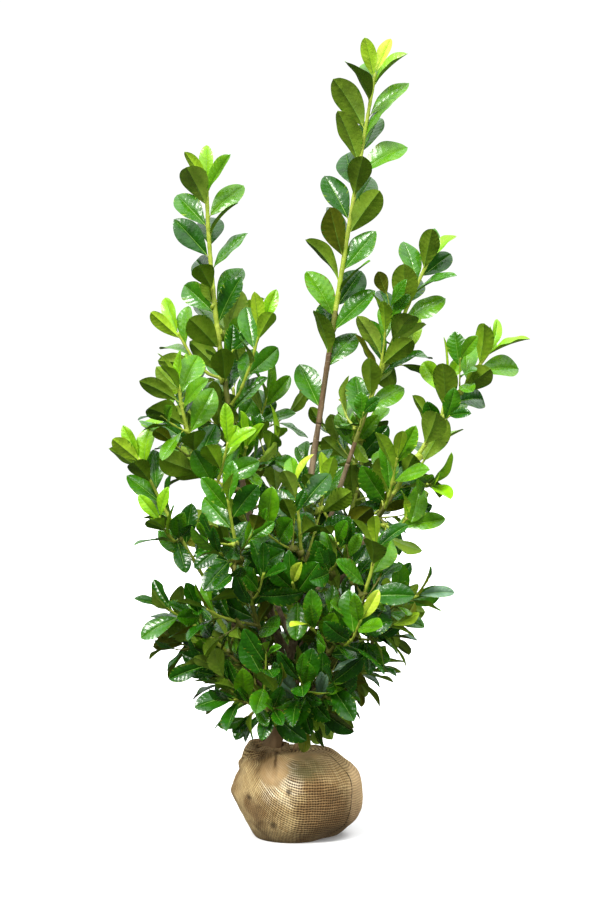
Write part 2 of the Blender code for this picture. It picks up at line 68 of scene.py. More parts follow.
BALL_RADIUS = 0.152  # the root ball at its widest
BALL_WIDEST = 0.122  # height of that widest ring
BALL_BELOW = 0.153  # how far the round would reach below its widest ring, were it not cut by the underside
BALL_ABOVE = 0.093  # the same above
BALL_SQUARENESS = 2.4  # 2 is an ellipse, more is boxier
BALL_SEAT = 0.205  # height of the flat that the trunk stands on
BALL_RINGS, BALL_SIDES = 11, 26

# Bulges of the wrapped soil: (azimuth in degrees, height, spread in degrees, spread in height, how far out)
BULGES = (
    (197, 0.182, 26, 0.022, 0.013),
    (0, 0.184, 50, 0.026, -0.015),
    (0, 0.070, 40, 0.050, 0.008),
    (180, 0.040, 36, 0.045, -0.010),
    (300, 0.120, 26, 0.060, 0.006),
    (70, 0.130, 34, 0.060, 0.008),
    (130, 0.080, 30, 0.050, -0.007),
    (182, 0.158, 30, 0.018, -0.011),
    (184, 0.106, 26, 0.018, 0.009),
    (318, 0.010, 36, 0.022, -0.014),
)

TRUNK_FOOT = Vector((-0.064, -0.014, BALL_SEAT + GAP))
TRUNK_TOP = Vector((0.052, 0.030, 0.985))  # where the leader's foliage begins
TRUNK_PULLS = (Vector((-0.006, -0.002, 0.305)), Vector((0.010, 0.030, 0.740)))
TRUNK_RADIUS, TRUNK_TOP_RADIUS = 0.0185, 0.0066
FLARE, FLARE_HEIGHT = 0.009, 0.018
TRUNK_RINGS, TRUNK_SIDES = 14, 10
TRUNK_CLEAR = 0.001  # spare space kept round the trunk
LEVEL_FOOT = 0.08  # the trunk is cut level at its foot and square to itself above this height

BOUGH_SIDES, BOUGH_RINGS = 6, 6
STEM_RINGS = 7  # of the stem inside a mass
LINE_POINTS = 10  # along that stem, from which a mass's distance to a place is taken
TWIG_SIDES, TWIG_RINGS = 3, 4
TIP_SHARE = 0.55  # of the foot's radius that a stem or twig keeps at its tip
TWIG_FOOT_RADIUS = 0.0036

LEAF_LENGTH, LEAF_WIDTH = 0.130, 0.061  # of a full-grown leaf
LEAF_THICKNESS = 0.0020
PETIOLE = 0.08  # share of a leaf's length
LEAF_SPACING = 0.030  # along a stem, between two leaves
OLD_SHARE, OLD_SPACING = 0.16, 3.2  # the oldest share of a stem is thinly leaved, at this wider spacing
LEAF_TURN = math.radians(137.5)  # from one leaf to the next round the stem
SPREAD_FIRST, SPREAD_STEP = 12, 8.5  # degrees from the stem to its first leaf, and the next ones' gain
SIZE_FIRST, SIZE_STEP = 0.78, 0.06  # a tip's first leaf against a full-grown one, and the next ones' gain
TO_SIDES = 0.20  # how far the spiral is drawn from the front and the back towards the sides
CURL = 0.50  # how far a leaf bends back along its length, in radians
FOLD_LEAST, FOLD_MOST, FOLD_YOUNG = 0.16, 0.44, 0.15  # half a leaf's fold, and a young leaf's more
TWIST = 1.20  # how far a leaf at a shoot's side turns on its stalk, to show its face to the front or the back
TWIST_OTHER_RIGHT, TWIST_OTHER_LEFT = 0.14, 0.48  # the share of leaves that turn the other way, on each side
YOUNG_WIDTH, WIDTH_STEP = 0.74, 0.08  # a tip's first leaf's width, and the next ones' gain
LEAF_TRIES = 9
SHRINK = 0.03  # the share of its size that a leaf gives up at each try
ROOT_DEPTH = 0.0045  # a leaf's root is on its stem's axis, this far below the point where it leaves
CLEAR = 0.0011  # spare space kept round a twig that is being tried, and half as much round a leaf

# One shoot: where it leaves the trunk (a height; the leader runs on from the trunk's tip, and a sucker rises
# from the ball beside the trunk), a point that it passes half-way, its tip, its foot's radius, the share of
# its length that is bare bough (0 where it is all foliage), its leaves' size against a full-grown one, the
# most that they spread from their stem, in degrees, its own seed, how many side twigs the rule gives it and
# how long, and its named forks, each a share of the shoot's length and the fork's tip.
Shoot = namedtuple(
    "Shoot", "name rise via tip radius bare leaf spread seed twigs reach forks", defaults=(0, 0, ()))
LEADER, SUCKER = "leader", "sucker"

SHOOTS = (
    Shoot("leader", LEADER, (0.116, 0.03, 1.405), (0.189, 0.026, 1.833), 0.0073, 0, 1.08, 30, 851),
    Shoot("left_tall", 0.372, (-0.165, 0.04, 1.023), (-0.219, 0.024, 1.566), 0.0085, 0.36, 1, 38, 945,
          forks=((0.56, (-0.289, 0.038, 1.206)), (0.5, (-0.085, -0.04, 1.215)),
          (0.39, (-0.037, -0.046, 0.962)), (0.66, (-0.154, 0.126, 1.257)), (0.42, (-0.248, 0.106, 1.099)),
          (0.4, (-0.12, -0.081, 0.929)))),
    Shoot("right_mid", 0.455, (0.147, -0.016, 0.964), (0.312, -0.032, 1.372), 0.007, 0.42, 1, 34, 133,
          forks=((0.62, (0.21, -0.07, 1.215)), (0.52, (0.105, 0.03, 1.045)), (0.7, (0.28, 0.097, 1.171)))),
    Shoot("right_outer", 0.4, (0.218, -0.047, 0.802), (0.458, -0.048, 1.158), 0.007, 0.42, 1, 39, 990,
          forks=((0.64, (0.314, -0.131, 0.841)), (0.45, (0.232, -0.164, 0.904)),
          (0.74, (0.357, -0.031, 1.096)), (0.45, (0.26, -0.097, 0.763)), (0.6, (0.33, 0.06, 0.95)))),
    Shoot("left_outer", 0.322, (-0.222, -0.045, 0.62), (-0.373, -0.082, 0.905), 0.0058, 0.44, 0.86, 30, 431,
          forks=((0.66, (-0.319, -0.148, 0.769)),)),
    Shoot("left_mid", 0.425, (-0.205, -0.069, 0.814), (-0.277, -0.114, 1.076), 0.0058, 0.46, 0.95, 48, 712,
          forks=((0.51, (-0.161, -0.139, 0.94)), (0.66, (-0.308, -0.029, 0.978)))),
    Shoot("back_left", 0.462, (-0.115, 0.189, 0.741), (-0.163, 0.272, 1.083), 0.0064, 0.34, 1, 40, 229, 4,
          0.15),
    Shoot("back_right", 0.5, (0.126, 0.176, 0.743), (0.17, 0.259, 0.984), 0.0062, 0.32, 1, 60, 562, 4,
          0.148),
    Shoot("front_left", 0.338, (-0.106, -0.12, 0.561), (-0.158, -0.242, 0.811), 0.0056, 0, 0.92, 54, 904, 3,
          0.13, ((0.55, (-0.075, -0.246, 0.643)),)),
    Shoot("front_mid", 0.535, (0.011, -0.118, 0.646), (-0.004, -0.183, 0.839), 0.005, 0, 0.92, 50, 632, 2,
          0.155, ((0.3, (-0.01, -0.215, 0.62)), (0.36, (0.095, -0.2, 0.67)))),
    Shoot("front_right", 0.345, (0.115, -0.141, 0.505), (0.183, -0.204, 0.703), 0.0054, 0, 0.92, 54, 517, 3,
          0.128, ((0.41, (0.145, -0.269, 0.54)),)),
    Shoot("back_mid", 0.385, (0.037, 0.201, 0.55), (0.047, 0.346, 0.781), 0.0054, 0, 1, 52, 314, 4, 0.163),
    Shoot("low_left", 0.298, (-0.18, -0.01, 0.45), (-0.314, -0.05, 0.548), 0.005, 0, 0.9, 38, 852, 4, 0.12),
    Shoot("low_right", SUCKER, (0.11, -0.02, 0.45), (0.286, -0.097, 0.581), 0.0056, 0, 0.9, 54, 463, 4,
          0.12),
    Shoot("low_right_back", 0.305, (0.12, 0.07, 0.4), (0.237, 0.18, 0.48), 0.0048, 0, 0.9, 52, 988, 3,
          0.13),
    Shoot("low_front_left", 0.285, (-0.089, -0.093, 0.325), (-0.147, -0.185, 0.347), 0.0046, 0, 0.88, 58,
          124, 1, 0.108, ((0.5, (-0.19, -0.12, 0.42)), (0.42, (-0.069, -0.262, 0.466)))),
    Shoot("low_front", 0.296, (0.049, -0.088, 0.36), (0.085, -0.206, 0.385), 0.0046, 0, 0.88, 58, 105, 1,
          0.11, ((0.48, (0.005, -0.229, 0.405)), (0.48, (0.051, -0.156, 0.345)))),
    Shoot("low_back_left", 0.312, (-0.117, 0.104, 0.394), (-0.205, 0.2, 0.48), 0.0048, 0, 0.9, 56, 1741, 4,
          0.12),
    Shoot("low_back", 0.29, (0.017, 0.111, 0.339), (0.062, 0.23, 0.405), 0.0046, 0, 0.9, 48, 841, 4, 0.119),
)
SUCKER_FOOT = Vector((-0.006, -0.018, BALL_SEAT + GAP))
HIDDEN = 0.24  # share of a shoot with no bough that has no leaves, inside the crown
SPACE_RADIUS = 0.215  # a mass keeps within this of its own stem
SPACE_SLACK = 0.045  # and may lean this far past half-way to another's
LOWEST_LEAF = 0.03  # no leaf's edge hangs lower than this


# ---------------------------------------------------------------- paths and tubes
def through(start, via, tip, share):
    """A smooth bend from start to tip that passes via half-way."""
    pull = 2 * via - (start + tip) / 2
    rest = 1 - share
    return rest * rest * start + 2 * rest * share * pull + share * share * tip


def trunk_point(share):
    rest = 1 - share
    first, second = TRUNK_PULLS
    return (rest ** 3 * TRUNK_FOOT + 3 * rest * rest * share * first
            + 3 * rest * share * share * second + share ** 3 * TRUNK_TOP)


def trunk_radius(share):
    height = trunk_point(share).z - TRUNK_FOOT.z
    return (TRUNK_RADIUS + (TRUNK_TOP_RADIUS - TRUNK_RADIUS) * share ** 0.62
            + FLARE * math.exp(-height / FLARE_HEIGHT))


def trunk_at_height(height):
    """The point of the trunk's axis at this height, found by halving."""
    low, high = 0.0, 1.0
    for _ in range(30):
        middle = (low + high) / 2
        low, high = (middle, high) if trunk_point(middle).z < height else (low, middle)
    return trunk_point(low)


SIDE_HINT = Vector((0.31, 0.95, 0.05))  # a direction that no limb runs along, to start its cross-section


def tube_faces(rings, sides):
    """The faces of a closed tube: its sides, ring by ring, and its two flat ends."""
    faces = []
    for ring in range(rings - 1):
        for k in range(sides):
            a, b = ring * sides + k, ring * sides + (k + 1) % sides
            faces.append((a, b, b + sides, a + sides))
    last = (rings - 1) * sides
    faces.append(tuple(reversed(range(sides))))
    faces.append(tuple(last + k for k in range(sides)))
    return faces


def tube(points, radii, sides, level_foot=0):
    """(vertices, faces) of a closed tube along points, with flat ends, that turns as little as it can.

    Over the first level_foot metres its axis turns from straight up, so that the foot is level."""
    vertices = []
    across = None
    for i, (point, radius) in enumerate(zip(points, radii)):
        tangent = (points[min(i + 1, len(points) - 1)] - points[max(i - 1, 0)]).normalized()
        if level_foot:
            climbed = min((point - points[0]).length / level_foot, 1)
            tangent = Vector((0, 0, 1)).lerp(tangent, climbed).normalized()
        if across is None:
            across = tangent.cross(SIDE_HINT).normalized()
        across = (across - tangent * across.dot(tangent)).normalized()
        third = tangent.cross(across)
        for k in range(sides):
            turn = 2 * math.pi * k / sides
            vertices.append(point + radius * (math.cos(turn) * across + math.sin(turn) * third))
    return vertices, tube_faces(len(points), sides)


def steps(low, high, count):
    return [low + (high - low) * k / (count - 1) for k in range(count)]


class Stem:
    """A tapering stem along a bend, from a foot to its tip, straight between its knots."""

    def __init__(self, name, start, via, tip, foot_radius, knots):
        self.name, self.foot_radius, self.knots = name, foot_radius, knots
        self.points = [through(start, via, tip, share) for share in knots]
        self.length = sum((b - a).length for a, b in zip(self.points, self.points[1:]))

    def at(self, share):
        for k in range(len(self.knots) - 1):
            if share <= self.knots[k + 1] or k == len(self.knots) - 2:
                part = (share - self.knots[k]) / (self.knots[k + 1] - self.knots[k])
                return self.points[k].lerp(self.points[k + 1], part)

    def radius(self, share):
        return self.foot_radius * (1 + (TIP_SHARE - 1) * share)

    def direction(self, share):
        return (self.at(min(share + 0.01, 1)) - self.at(max(share - 0.01, 0))).normalized()

    def across(self, share):
        """Two vectors across the stem at this share of its length."""
        tangent = self.direction(share)
        one = tangent.cross(SIDE_HINT).normalized()
        return one, tangent.cross(one)

    def leaving(self, share, azimuth, spread):
        """(a heading that spreads from the stem, straight out from it), at an azimuth round it."""
        one, two = self.across(share)
        out = math.cos(azimuth) * one + math.sin(azimuth) * two
        return math.cos(spread) * self.direction(share) + math.sin(spread) * out, out

    def shares(self, low, high):
        """Where the stem may bend between two shares of its length, and those two."""
        return [low, *(knot for knot in self.knots if low + 1e-4 < knot < high - 1e-4), high]

    def solid(self, low, high, sides, more=0):
        """The stem between two shares of its length, cut square at both ends."""
        shares = self.shares(low, high)
        return tube([self.at(s) for s in shares], [self.radius(s) + more for s in shares], sides)


# ---------------------------------------------------------------- leaves
Leaf = namedtuple("Leaf", "root along across up length width curl fold age")


def blade(share):
    """Half the blade's width, as a share of its widest, along the leaf. It is broadest past the middle."""
    if share <= PETIOLE:
        return 0.035
    along = (share - PETIOLE) / (1 - PETIOLE)
    return max(math.sin(math.pi * min(along, 1) ** 1.28), 0) ** 0.70


def leaf_point(leaf, share, side, above=0.0):
    """A point on the leaf: share runs from root to tip, side from one edge, -1, to the other, 1."""
    bend = leaf.curl * share
    reach = leaf.length * math.sin(bend) / leaf.curl
    drop = leaf.length * (1 - math.cos(bend)) / leaf.curl
    normal = leaf.up * math.cos(bend) + leaf.along * math.sin(bend)
    out = side * blade(share) * leaf.width / 2
    return (leaf.root + leaf.along * reach - leaf.up * drop + leaf.across * (out * math.cos(leaf.fold))
            + normal * (abs(out) * math.sin(leaf.fold) + above))


LEAF_WIDEST = 0.60  # share of the length
LEAF_BROADER = 1.24  # the solid's few straight edges cut the outline short, so it is this much broader
BROADER_TO_CLEAR = 20  # and by this much more for each metre of space that is kept round it


def leaf_solid(leaf, more=0.0):
    """(vertices, faces) of a thin closed leaf, folded along its midrib. more thickens it."""
    half = LEAF_THICKNESS / 2 + more
    side = LEAF_BROADER + BROADER_TO_CLEAR * more
    places = ((0, 0), (LEAF_WIDEST, -side), (1, 0), (LEAF_WIDEST, side),
              (LEAF_WIDEST, 0, half), (LEAF_WIDEST, 0, -half))
    vertices = [leaf_point(leaf, *place) for place in places]
    faces = [(4, 1, 0), (4, 2, 1), (4, 3, 2), (4, 0, 3), (5, 0, 1), (5, 1, 2), (5, 2, 3), (5, 3, 0)]
    return vertices, faces


def leaf_ends(leaf):
    return [leaf_point(leaf, 1, 0), leaf_point(leaf, LEAF_WIDEST, 1), leaf_point(leaf, LEAF_WIDEST, -1)]


def try_leaf(stem, share, azimuth, spread, size, age, rng):
    """A leaf at this share of its stem. A young one, near the tip, is narrow and folded up."""
    tangent = stem.direction(share)
    along, out = stem.leaving(share, azimuth - TO_SIDES * math.sin(2 * azimuth), spread)
    along = along.normalized()
    up = math.sin(spread) * tangent - math.cos(spread) * out
    up = (up - along * up.dot(along)).normalized()
    other = TWIST_OTHER_RIGHT if out.x > 0 else TWIST_OTHER_LEFT
    turn = TWIST * abs(out.x) ** 1.2 * (-1 if rng.random() < other else 1) + rng.uniform(-0.35, 0.35)
    up = Matrix.Rotation(turn, 3, along) @ up
    width = LEAF_WIDTH * size * rng.uniform(0.90, 1.10) * min(1, YOUNG_WIDTH + WIDTH_STEP * age)
    curl = rng.uniform(0.3, 1.5) * CURL
    fold = rng.uniform(FOLD_LEAST, FOLD_MOST) + FOLD_YOUNG * (age < 3)
    root = stem.at(share) - tangent * ROOT_DEPTH
    return Leaf(root, along, along.cross(up), up, LEAF_LENGTH * size, width, curl, fold, age)


# ---------------------------------------------------------------- room in the crown
class Room:
    """What fills the crown so far, and the masses that share it, to keep each new piece clear of the rest."""

    def __init__(self, masses):
        self.masses, self.taken = masses, []

    def add(self, vertices, faces, owner):
        self.taken.append((*around(vertices), BVHTree.FromPolygons(vertices, faces), owner))

    def free(self, vertices, faces, spared):
        """True if nothing crosses these faces but the pieces of the owners named in spared."""
        centre, radius = around(vertices)
        tree = None
        for other_centre, other_radius, other_tree, owner in self.taken:
            if owner in spared or (centre - other_centre).length > radius + other_radius:
                continue
            tree = tree or BVHTree.FromPolygons(vertices, faces)
            if tree.overlap(other_tree):
                return False
        return True

    def own(self, mass, points):
        """True if these points are near the mass's own stem, and not much nearer to another's."""
        for point in points:
            far = mass.distance(point)
            if far > SPACE_RADIUS or point.z < LOWEST_LEAF:
                return False
            if any(other.distance(point) < far - SPACE_SLACK for other in self.masses if other is not mass):
                return False
        return True


def around(vertices):
    """The middle of these vertices, and the radius of a sphere round them."""
    centre = sum(vertices, Vector()) / len(vertices)
    return centre, max((v - centre).length for v in vertices)


class Mass:
    """One mass of foliage: its stem, its twigs and its leaves."""

    def __init__(self, shoot):
        start = {LEADER: TRUNK_TOP, SUCKER: SUCKER_FOOT}.get(shoot.rise) or trunk_at_height(shoot.rise)
        self.shoot, self.name = shoot, shoot.name
        self.rng = random.Random(shoot.seed)
        knots = steps(shoot.bare, 1, STEM_RINGS)
        if shoot.bare:
            knots = steps(0, shoot.bare, BOUGH_RINGS)[:-1] + knots
        self.stem = Stem(shoot.name, start, Vector(shoot.via), Vector(shoot.tip), shoot.radius, knots)
        self.twigs, self.leaves, self.fine_twigs, self.fine_leaves = [], [], [], []
        self.line = [self.stem.at(share) for share in steps(shoot.bare, 1, LINE_POINTS)]

    def distance(self, point):
        return min((point - q).length for q in self.line)


def add_twig(mass, room, share, tip, lift, named=False):
    """A side twig from the mass's stem to tip, bowed by lift, if there is room: True if it is added."""
    start = mass.stem.at(share)
    name = f"{mass.name}_twig_{len(mass.twigs)}_{share:.3f}"
    foot_radius = min(TWIG_FOOT_RADIUS, 0.8 * mass.stem.radius(share))
    twig = Stem(name, start, (start + tip) / 2 + lift, tip, foot_radius, steps(0, 1, TWIG_RINGS))
    solid = twig.solid(0.12, 1, TWIG_SIDES, CLEAR)
    if not (named or room.own(mass, [tip])) or not room.free(*solid, (mass.stem.name,)):
        return False
    room.add(*twig.solid(0, 1, TWIG_SIDES), name)
    mass.twigs.append(twig)
    return True


def grow_twigs(mass, room):
    """Side twigs that leave the stem in a spiral and bend up."""
    shoot, stem, rng = mass.shoot, mass.stem, mass.rng
    azimuth = rng.uniform(0, 2 * math.pi)
    for k in range(shoot.twigs):
        low = shoot.bare or HIDDEN
        share = low + (1 - low) * (0.04 + 0.64 * (k + rng.uniform(0.2, 0.8)) / shoot.twigs)
        for _ in range(LEAF_TRIES):
            azimuth += LEAF_TURN
            heading, out = stem.leaving(share, azimuth, math.radians(rng.uniform(48, 68)))
            length = shoot.reach * rng.uniform(0.8, 1.15) * (1.1 - 0.3 * k / shoot.twigs)
            tip = stem.at(share) + length * heading + Vector((0, 0, 0.12 * length))
            if add_twig(mass, room, share, tip, out * 0.1 * length):
                break


def aside(attempt):
    """How far a leaf is turned at each attempt to seat it: to one side, then to the other, ever farther."""
    return 0.42 * ((attempt + 1) // 2) * (-1) ** attempt


def grow_leaves(mass, room, stem, low):
    """Leaves in a spiral from a stem's tip down to the share low, each turned till it has room."""
    rng = mass.rng
    azimuth = rng.uniform(0, 2 * math.pi)
    back = 0.0015
    number = 0
    while back < stem.length * (1 - low):
        share = 1 - back / stem.length
        size = mass.shoot.leaf * min(1, SIZE_FIRST + SIZE_STEP * number) * rng.uniform(0.88, 1.06)
        for attempt in range(LEAF_TRIES):
            turn = azimuth + rng.uniform(-0.25, 0.25) + aside(attempt)
            spread = min(mass.shoot.spread, SPREAD_FIRST + SPREAD_STEP * number) + rng.uniform(-8, 9)
            smaller = size * (1 - SHRINK * attempt)
            leaf = try_leaf(stem, share, turn, math.radians(spread), smaller, number, rng)
            if room.own(mass, leaf_ends(leaf)) and room.free(*leaf_solid(leaf, CLEAR / 2), (stem.name,)):
                room.add(*leaf_solid(leaf), mass.name)
                mass.leaves.append(leaf)
                break
        azimuth += LEAF_TURN
        old = share - low < OLD_SHARE * (1 - low)
        spacing = LEAF_SPACING * min(1, 0.35 + 0.16 * number) * rng.uniform(0.88, 1.12)
        back += spacing * (OLD_SPACING if old else 1)
        number += 1


def grow():
    """The whole plant, mass by mass, with its stems, twigs and leaves: the room that they fill."""
    masses = [Mass(shoot) for shoot in SHOOTS]
    room = Room(masses)
    room.add(*root_ball_solid(), "root_ball")
    room.add(*trunk_solid(), "trunk")
    for mass in masses:
        room.add(*mass.stem.solid(0, 1, BOUGH_SIDES), mass.name)
    for mass in masses:
        for share, tip in mass.shoot.forks:
            add_twig(mass, room, share, Vector(tip), Vector((0, 0, -0.03)), named=True)
    for mass in masses:
        grow_twigs(mass, room)
    for mass in masses:
        shoot = mass.shoot
        low = shoot.bare + 0.03 if shoot.bare or shoot.rise == LEADER else HIDDEN
        grow_leaves(mass, room, mass.stem, low)
        for twig in mass.twigs:
            grow_leaves(mass, room, twig, 0.30)
    return room


# ---------------------------------------------------------------- solids
def ball_radius(height, azimuth):
    """The root ball's radius at a height and an azimuth in degrees, bulges included."""
    rise = height - BALL_WIDEST
    span = BALL_ABOVE if rise > 0 else BALL_BELOW
    plain = BALL_RADIUS * max(1 - (abs(rise) / span) ** BALL_SQUARENESS, 0) ** (1 / BALL_SQUARENESS)
    for centre, level, wide, tall, out in BULGES:
        away = (azimuth - centre + 180) % 360 - 180
        plain = plain + out * np.exp(-((away / wide) ** 2) - ((height - level) / tall) ** 2)
    return plain


BALL_FIRST = 0.12  # the share of a whole round's rings that is left out below


def root_ball_solid():
    """Rings from the flat underside to the flat that the trunk stands on."""
    vertices = []
    low = BALL_SEAT * (1 - math.cos(math.pi * BALL_FIRST)) / 2
    for share in steps(BALL_FIRST, 1, BALL_RINGS):
        height = BALL_SEAT * (1 - math.cos(math.pi * share)) / 2
        height = (height - low) * BALL_SEAT / (BALL_SEAT - low)
        for k in range(BALL_SIDES):
            turn = 360 * k / BALL_SIDES
            out = ball_radius(height, turn)
            place = math.radians(turn)
            vertices.append(Vector((out * math.cos(place), out * math.sin(place), height)))
    return vertices, tube_faces(BALL_RINGS, BALL_SIDES)


def trunk_solid():
    """The trunk, more stout by the space that is kept round it."""
    shares = [share ** 1.7 for share in steps(0, 1, TRUNK_RINGS)]
    radii = [trunk_radius(share) + TRUNK_CLEAR for share in shares]
    return tube([trunk_point(share) for share in shares], radii, TRUNK_SIDES, LEVEL_FOOT)


# ---------------------------------------------------------------- finer growth, within the same reach
FINE_LEAF_SPACING = 0.024
FINE_SPREAD_FIRST, FINE_SPREAD_STEP, FINE_SPREAD_MOST = 18, 12, 58  # as for the leaves above, in degrees
FINE_SIZE_FIRST, FINE_SIZE_STEP = 0.80, 0.10
FINE_TRIES = LEAF_TRIES + 4
FINE_AGE = 3  # a finer twig's first leaf counts as this many places from a tip, so that none is narrow
FINE_TWIG_RADIUS = 0.0019

# For each mass: how many finer twigs leave its stem and its twigs, how long they are, how many leaves each
# bears at most, those leaves' size against a full-grown one, and its seed
FINER = {
    "leader": (0, 0, 0, 0, 10),
    "left_tall": (7, 0.073, 4, 0.72, 584),
    "right_mid": (3, 0.082, 4, 0.72, 560),
    "right_outer": (5, 0.076, 4, 0.72, 566),
    "left_outer": (3, 0.07, 3, 0.7, 660),
    "left_mid": (4, 0.075, 4, 0.72, 378),
    "back_left": (10, 0.109, 4, 0.74, 160),
    "back_right": (6, 0.107, 4, 0.74, 638),
    "front_left": (9, 0.085, 4, 0.72, 404),
    "front_mid": (10, 0.081, 4, 0.72, 540),
    "front_right": (10, 0.085, 4, 0.72, 483),
    "back_mid": (11, 0.087, 4, 0.74, 373),
    "low_left": (9, 0.08, 4, 0.7, 188),
    "low_right": (9, 0.078, 4, 0.7, 418),
    "low_right_back": (8, 0.066, 4, 0.7, 938),
    "low_front_left": (8, 0.08, 4, 0.68, 663),
    "low_front": (9, 0.078, 4, 0.68, 86),
    "low_back_left": (8, 0.08, 4, 0.7, 993),
    "low_back": (7, 0.079, 4, 0.7, 365),
}
FOOT_SIGHT = ((-0.096, -0.40, 0.0), (-0.002, 0.03, 0.285))  # before the trunk, where no finer leaf hangs


def within(points, box):
    low, high = box
    return all(low[i] < point[i] < high[i] for i in range(3) for point in points)


def grow_finer(room):
    """Finer side twigs with smaller leaves, where there is room for them."""
    for mass in room.masses:
        count, reach, most, size, seed = FINER[mass.name]
        rng = random.Random(seed)
        azimuth = rng.uniform(0, 2 * math.pi)
        for k in range(count):
            host = mass.stem if not mass.twigs or rng.random() < 0.5 else rng.choice(mass.twigs)
            first = mass.shoot.bare if host is mass.stem else 0.1
            share = first + (1 - first) * rng.uniform(0.04, 0.80)
            start = host.at(share)
            for _ in range(LEAF_TRIES):
                azimuth += LEAF_TURN
                heading, _ = host.leaving(share, azimuth, math.radians(rng.uniform(42, 70)))
                length = reach * rng.uniform(0.7, 1.15)
                tip = start + length * heading + Vector((0, 0, 0.15 * length))
                via = (start + tip) / 2 - Vector((0, 0, 0.06 * length))
                name = f"{mass.name}_fine_{k}"
                twig = Stem(name, start, via, tip, FINE_TWIG_RADIUS, steps(0, 1, TWIG_RINGS))
                fits = within([tip], cad_box) and room.own(mass, [tip])
                if fits and room.free(*twig.solid(0.2, 1, TWIG_SIDES, CLEAR), (host.name,)):
                    room.add(*twig.solid(0, 1, TWIG_SIDES), name)
                    mass.fine_twigs.append(twig)
                    break
        for twig in mass.fine_twigs:
            grow_fine_leaves(mass, room, twig, most, size, rng)


def grow_fine_leaves(mass, room, twig, most, full_size, rng):
    azimuth = rng.uniform(0, 2 * math.pi)
    back = 0.001
    for number in range(most):
        share = max(1 - back / twig.length, 0.05)
        size = full_size * min(1, FINE_SIZE_FIRST + FINE_SIZE_STEP * number) * rng.uniform(0.85, 1.12)
        for attempt in range(FINE_TRIES):
            turn = azimuth + rng.uniform(-0.3, 0.3) + aside(attempt)
            spread = min(FINE_SPREAD_MOST, FINE_SPREAD_FIRST + FINE_SPREAD_STEP * number)
            spread += rng.uniform(-8, 10)
            smaller = size * (1 - SHRINK * attempt)
            leaf = try_leaf(twig, share, turn, math.radians(spread), smaller, number + FINE_AGE, rng)
            ends = leaf_ends(leaf)
            fits = within(ends, cad_box) and not any(within([end], FOOT_SIGHT) for end in ends)
            if fits and room.own(mass, ends) and room.free(*leaf_solid(leaf), (twig.name,)):
                room.add(*leaf_solid(leaf), mass.name)
                mass.fine_leaves.append(leaf)
                break
        azimuth += LEAF_TURN
        back += FINE_LEAF_SPACING * rng.uniform(0.8, 1.15)


# ---------------------------------------------------------------- node materials
class Value:
    """A node's output, which sums and products take like a number."""

    def __init__(self, nodes, socket):
        self.nodes, self.socket = nodes, socket

    def __add__(self, other):
        return self.nodes.maths("ADD", self, other)

    def __mul__(self, other):
        return self.nodes.maths("MULTIPLY", self, other)

    def __sub__(self, other):
        return self.nodes.maths("SUBTRACT", self, other)

    def __rsub__(self, other):
        return self.nodes.maths("SUBTRACT", other, self)

    __rmul__ = __mul__


class Nodes:
    """Short ways to build a shader out of nodes."""

    def __init__(self, tree, coordinates="Object"):
        self.tree = tree
        self.shader = tree.nodes.get("Principled BSDF")
        self.place = self.add("ShaderNodeTexCoord", output=coordinates)

    def add(self, kind, inputs=(), output=0, **settings):
        made = self.tree.nodes.new(kind)
        for key, value in settings.items():
            setattr(made, key, value)
        self.put(made, inputs)
        return Value(self, made.outputs[output])

    def put(self, node, inputs):
        """Links a node's inputs to Values, or sets them to plain numbers and colours."""
        for key, value in dict(inputs).items():
            socket = node.inputs[key]
            if isinstance(value, Value):
                self.tree.links.new(value.socket, socket)
            else:
                socket.default_value = (*value, 1) if socket.type == "RGBA" else value

    def maths(self, operation, *values):
        return self.add("ShaderNodeMath", enumerate(values), operation=operation)

    def axes(self, vector=None):
        """The three parts of a vector, or of the place on the surface."""
        first = self.add("ShaderNodeSeparateXYZ", {0: vector or self.place})
        return [Value(self, part) for part in first.socket.node.outputs]

    def distance(self, point, squash=(1, 1, 1)):
        """How far the surface is from a point, with each axis scaled by squash."""
        offset = self.add("ShaderNodeVectorMath", {0: self.place, 1: point}, operation="SUBTRACT")
        scaled = self.add("ShaderNodeVectorMath", {0: offset, 1: squash}, operation="MULTIPLY")
        return self.add("ShaderNodeVectorMath", {0: scaled}, "Value", operation="LENGTH")

    def noise(self, scale, detail=3, roughness=0.55, at=None, stretch=None):
        where = at or self.place
        if stretch:
            where = self.add("ShaderNodeMapping", {"Vector": where, "Scale": stretch})
        inputs = {"Vector": where, "Scale": scale, "Detail": detail, "Roughness": roughness}
        return self.add("ShaderNodeTexNoise", inputs, "Fac")

    def ramp(self, value, low, high, to_low=0, to_high=1, kind="SMOOTHSTEP"):
        """From to_low to to_high as value runs from low to high."""
        inputs = enumerate((value, low, high, to_low, to_high))
        return self.add("ShaderNodeMapRange", inputs, interpolation_type=kind)

    def mix(self, factor, colour, other):
        return self.add("ShaderNodeMix", {0: factor, 6: colour, 7: other}, 2, data_type="RGBA")

    def bump(self, height, strength, distance):
        return self.add("ShaderNodeBump", {"Height": height, "Strength": strength, "Distance": distance})


def new_material(name):
    material = bpy.data.materials.new(name)
    material.use_nodes = True
    return material, Nodes(material.node_tree)


def rgb(*shown):
    """0-255 display values to the linear ones that a shader takes."""
    return tuple(c / 255 / 12.92 if c <= 10 else ((c / 255 + 0.055) / 1.055) ** 2.4 for c in shown)


